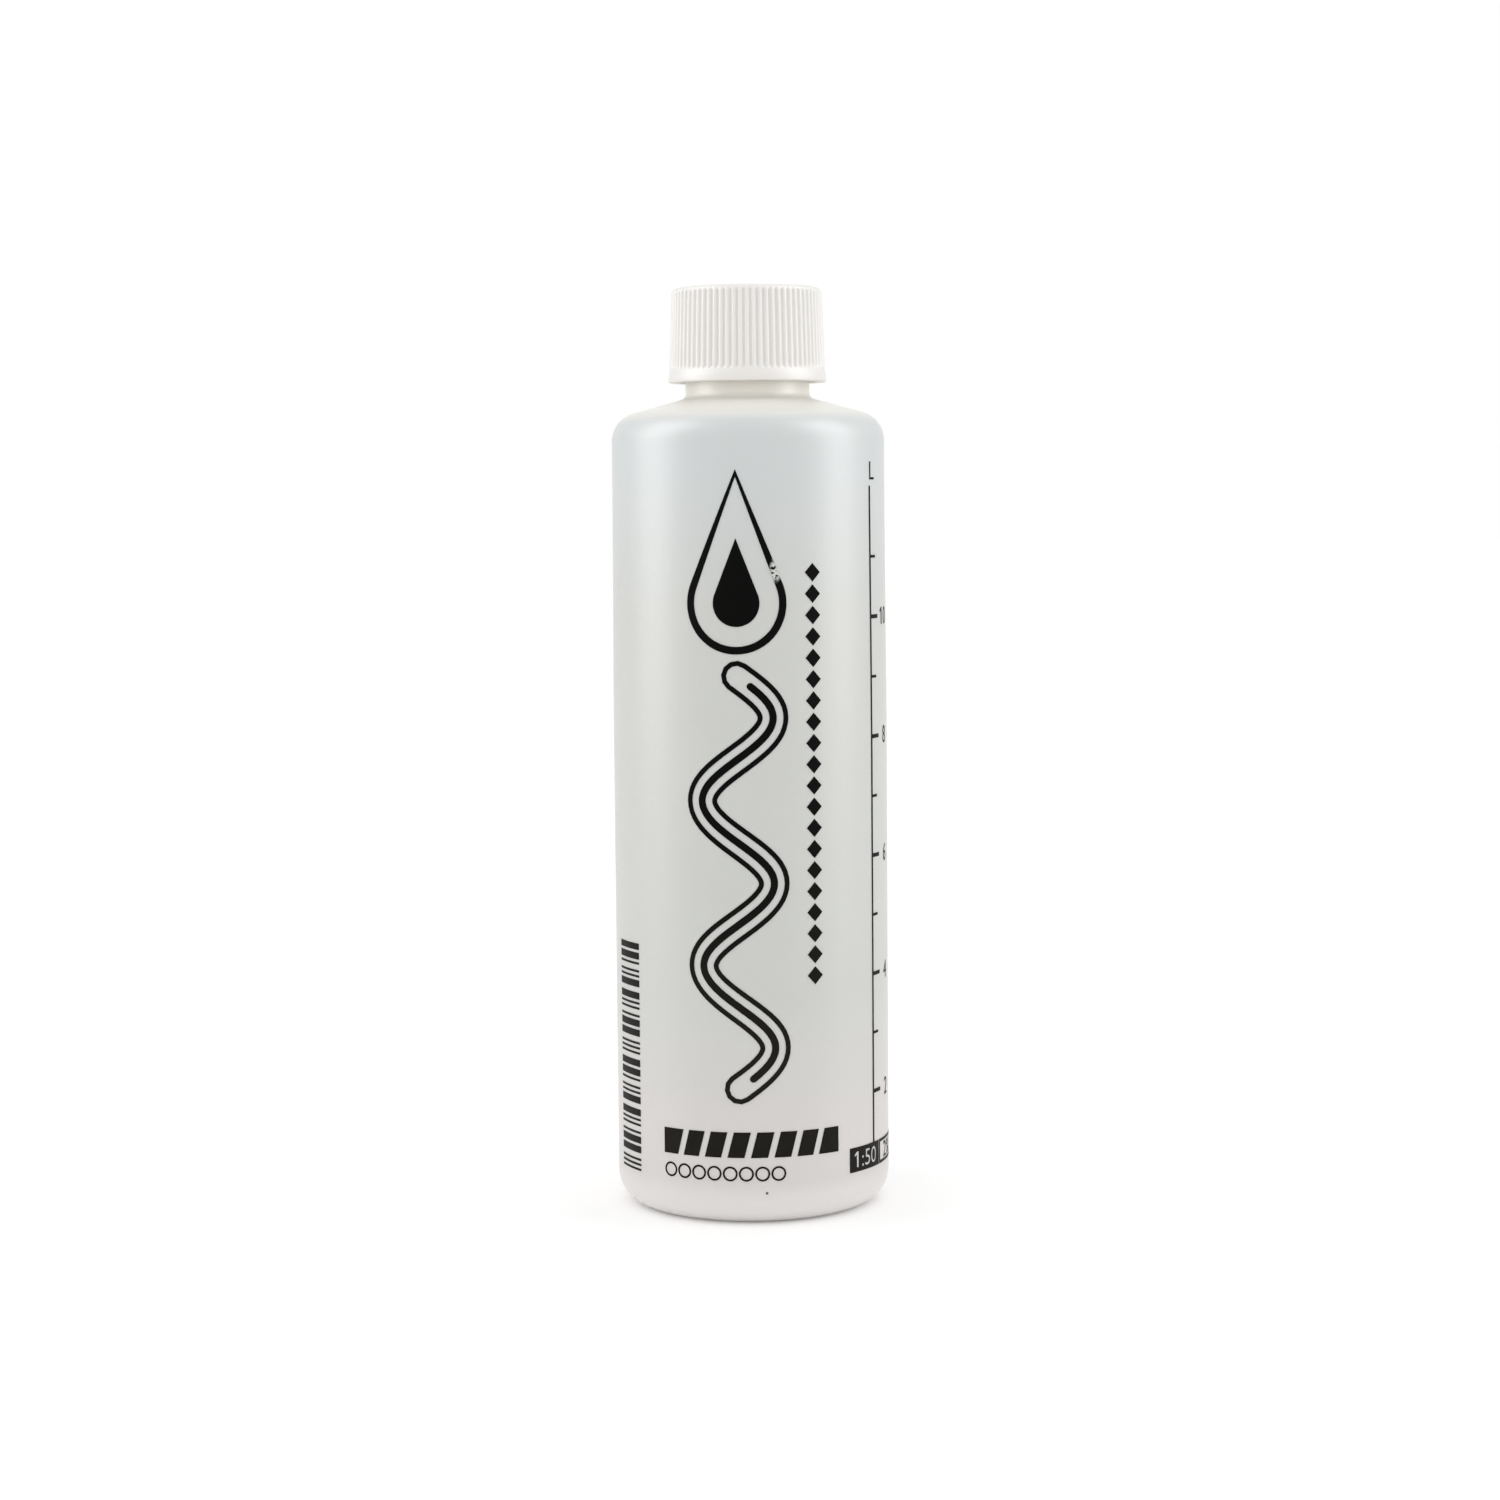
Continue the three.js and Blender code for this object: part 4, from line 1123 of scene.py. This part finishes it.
class BOTTLE_OT_liner(BottlePiece, Operator):
    """Make the sealing disc in the cap"""
    bl_idname = "bottle.liner"
    bl_label = "Sealing disc"

    def execute(self, context):
        make_liner(read(context.scene.bottle_cap), bpy.data.materials["foam_liner"])
        return {"FINISHED"}


class BOTTLE_OT_scales(BottlePiece, Operator):
    """Print the filling scales and mixing ratios"""
    bl_idname = "bottle.scales"
    bl_label = "Filling scales"

    def execute(self, context):
        for scale in SCALES:
            make_scale(scale, *for_print(context.scene))
        return {"FINISHED"}


class BOTTLE_OT_bars(BottlePiece, Operator):
    """Print the field of bars"""
    bl_idname = "bottle.bars"
    bl_label = "Field of bars"

    def execute(self, context):
        make_bars(*for_print(context.scene))
        return {"FINISHED"}


class BOTTLE_OT_motif(BottlePiece, Operator):
    """Print the front motif and its trims"""
    bl_idname = "bottle.motif"
    bl_label = "Front motif"

    def execute(self, context):
        make_motif(*for_print(context.scene))
        return {"FINISHED"}


class BOTTLE_OT_trims(BottlePiece, Operator):
    """Print the trims beside and under the motif"""
    bl_idname = "bottle.trims"
    bl_label = "Printed trims"

    def execute(self, context):
        make_trims(*for_print(context.scene))
        return {"FINISHED"}


class BOTTLE_OT_studio(BottlePiece, Operator):
    """Make the floor, the light and the camera"""
    bl_idname = "bottle.studio"
    bl_label = "Studio"

    def execute(self, context):
        make_studio(read(context.scene.bottle_studio))
        return {"FINISHED"}


OPERATORS = (BOTTLE_OT_materials, BOTTLE_OT_shell, BOTTLE_OT_cap, BOTTLE_OT_liner, BOTTLE_OT_scales,
             BOTTLE_OT_bars, BOTTLE_OT_motif, BOTTLE_OT_trims, BOTTLE_OT_studio)
SETTINGS = {
    "bottle_sizes": BottleSizes,
    "bottle_thread": ThreadSizes,
    "bottle_cap": CapSizes,
    "bottle_print": PrintSizes,
    "bottle_finish": Finish,
    "bottle_studio": StudioSettings,
}


class BOTTLE_PT_sidebar(Panel):
    """Lists the bottle's pieces and settings"""
    bl_idname = "BOTTLE_PT_sidebar"
    bl_label = "Oil measuring bottle"
    bl_space_type = "VIEW_3D"
    bl_region_type = "UI"
    bl_category = "Bottle"

    def draw(self, context):
        for operator in OPERATORS:
            self.layout.operator(operator.bl_idname)
        for name, kind in SETTINGS.items():
            box = self.layout.box()
            box.label(text=kind.__doc__)
            group = getattr(context.scene, name)
            for key in kind.__annotations__:
                box.prop(group, key)


def register():
    """Registers the settings, the operators and the panel."""
    for name, kind in SETTINGS.items():
        bpy.utils.register_class(kind)
        setattr(bpy.types.Scene, name, PointerProperty(type=kind))
    for kind in (*OPERATORS, BOTTLE_PT_sidebar):
        bpy.utils.register_class(kind)


def unregister():
    """Takes them all out again."""
    for kind in reversed((*OPERATORS, BOTTLE_PT_sidebar)):
        bpy.utils.unregister_class(kind)
    for name, kind in reversed(SETTINGS.items()):
        delattr(bpy.types.Scene, name)
        bpy.utils.unregister_class(kind)


def main():
    """Builds the whole bottle."""
    register()
    bpy.ops.bottle.materials()
    bpy.ops.bottle.studio()
    bpy.ops.bottle.shell()
    bpy.ops.bottle.cap()
    bpy.ops.bottle.liner()
    bpy.ops.bottle.scales()
    bpy.ops.bottle.bars()
    bpy.ops.bottle.motif()
    bpy.ops.bottle.trims()


if __name__ == "__main__":
    main()
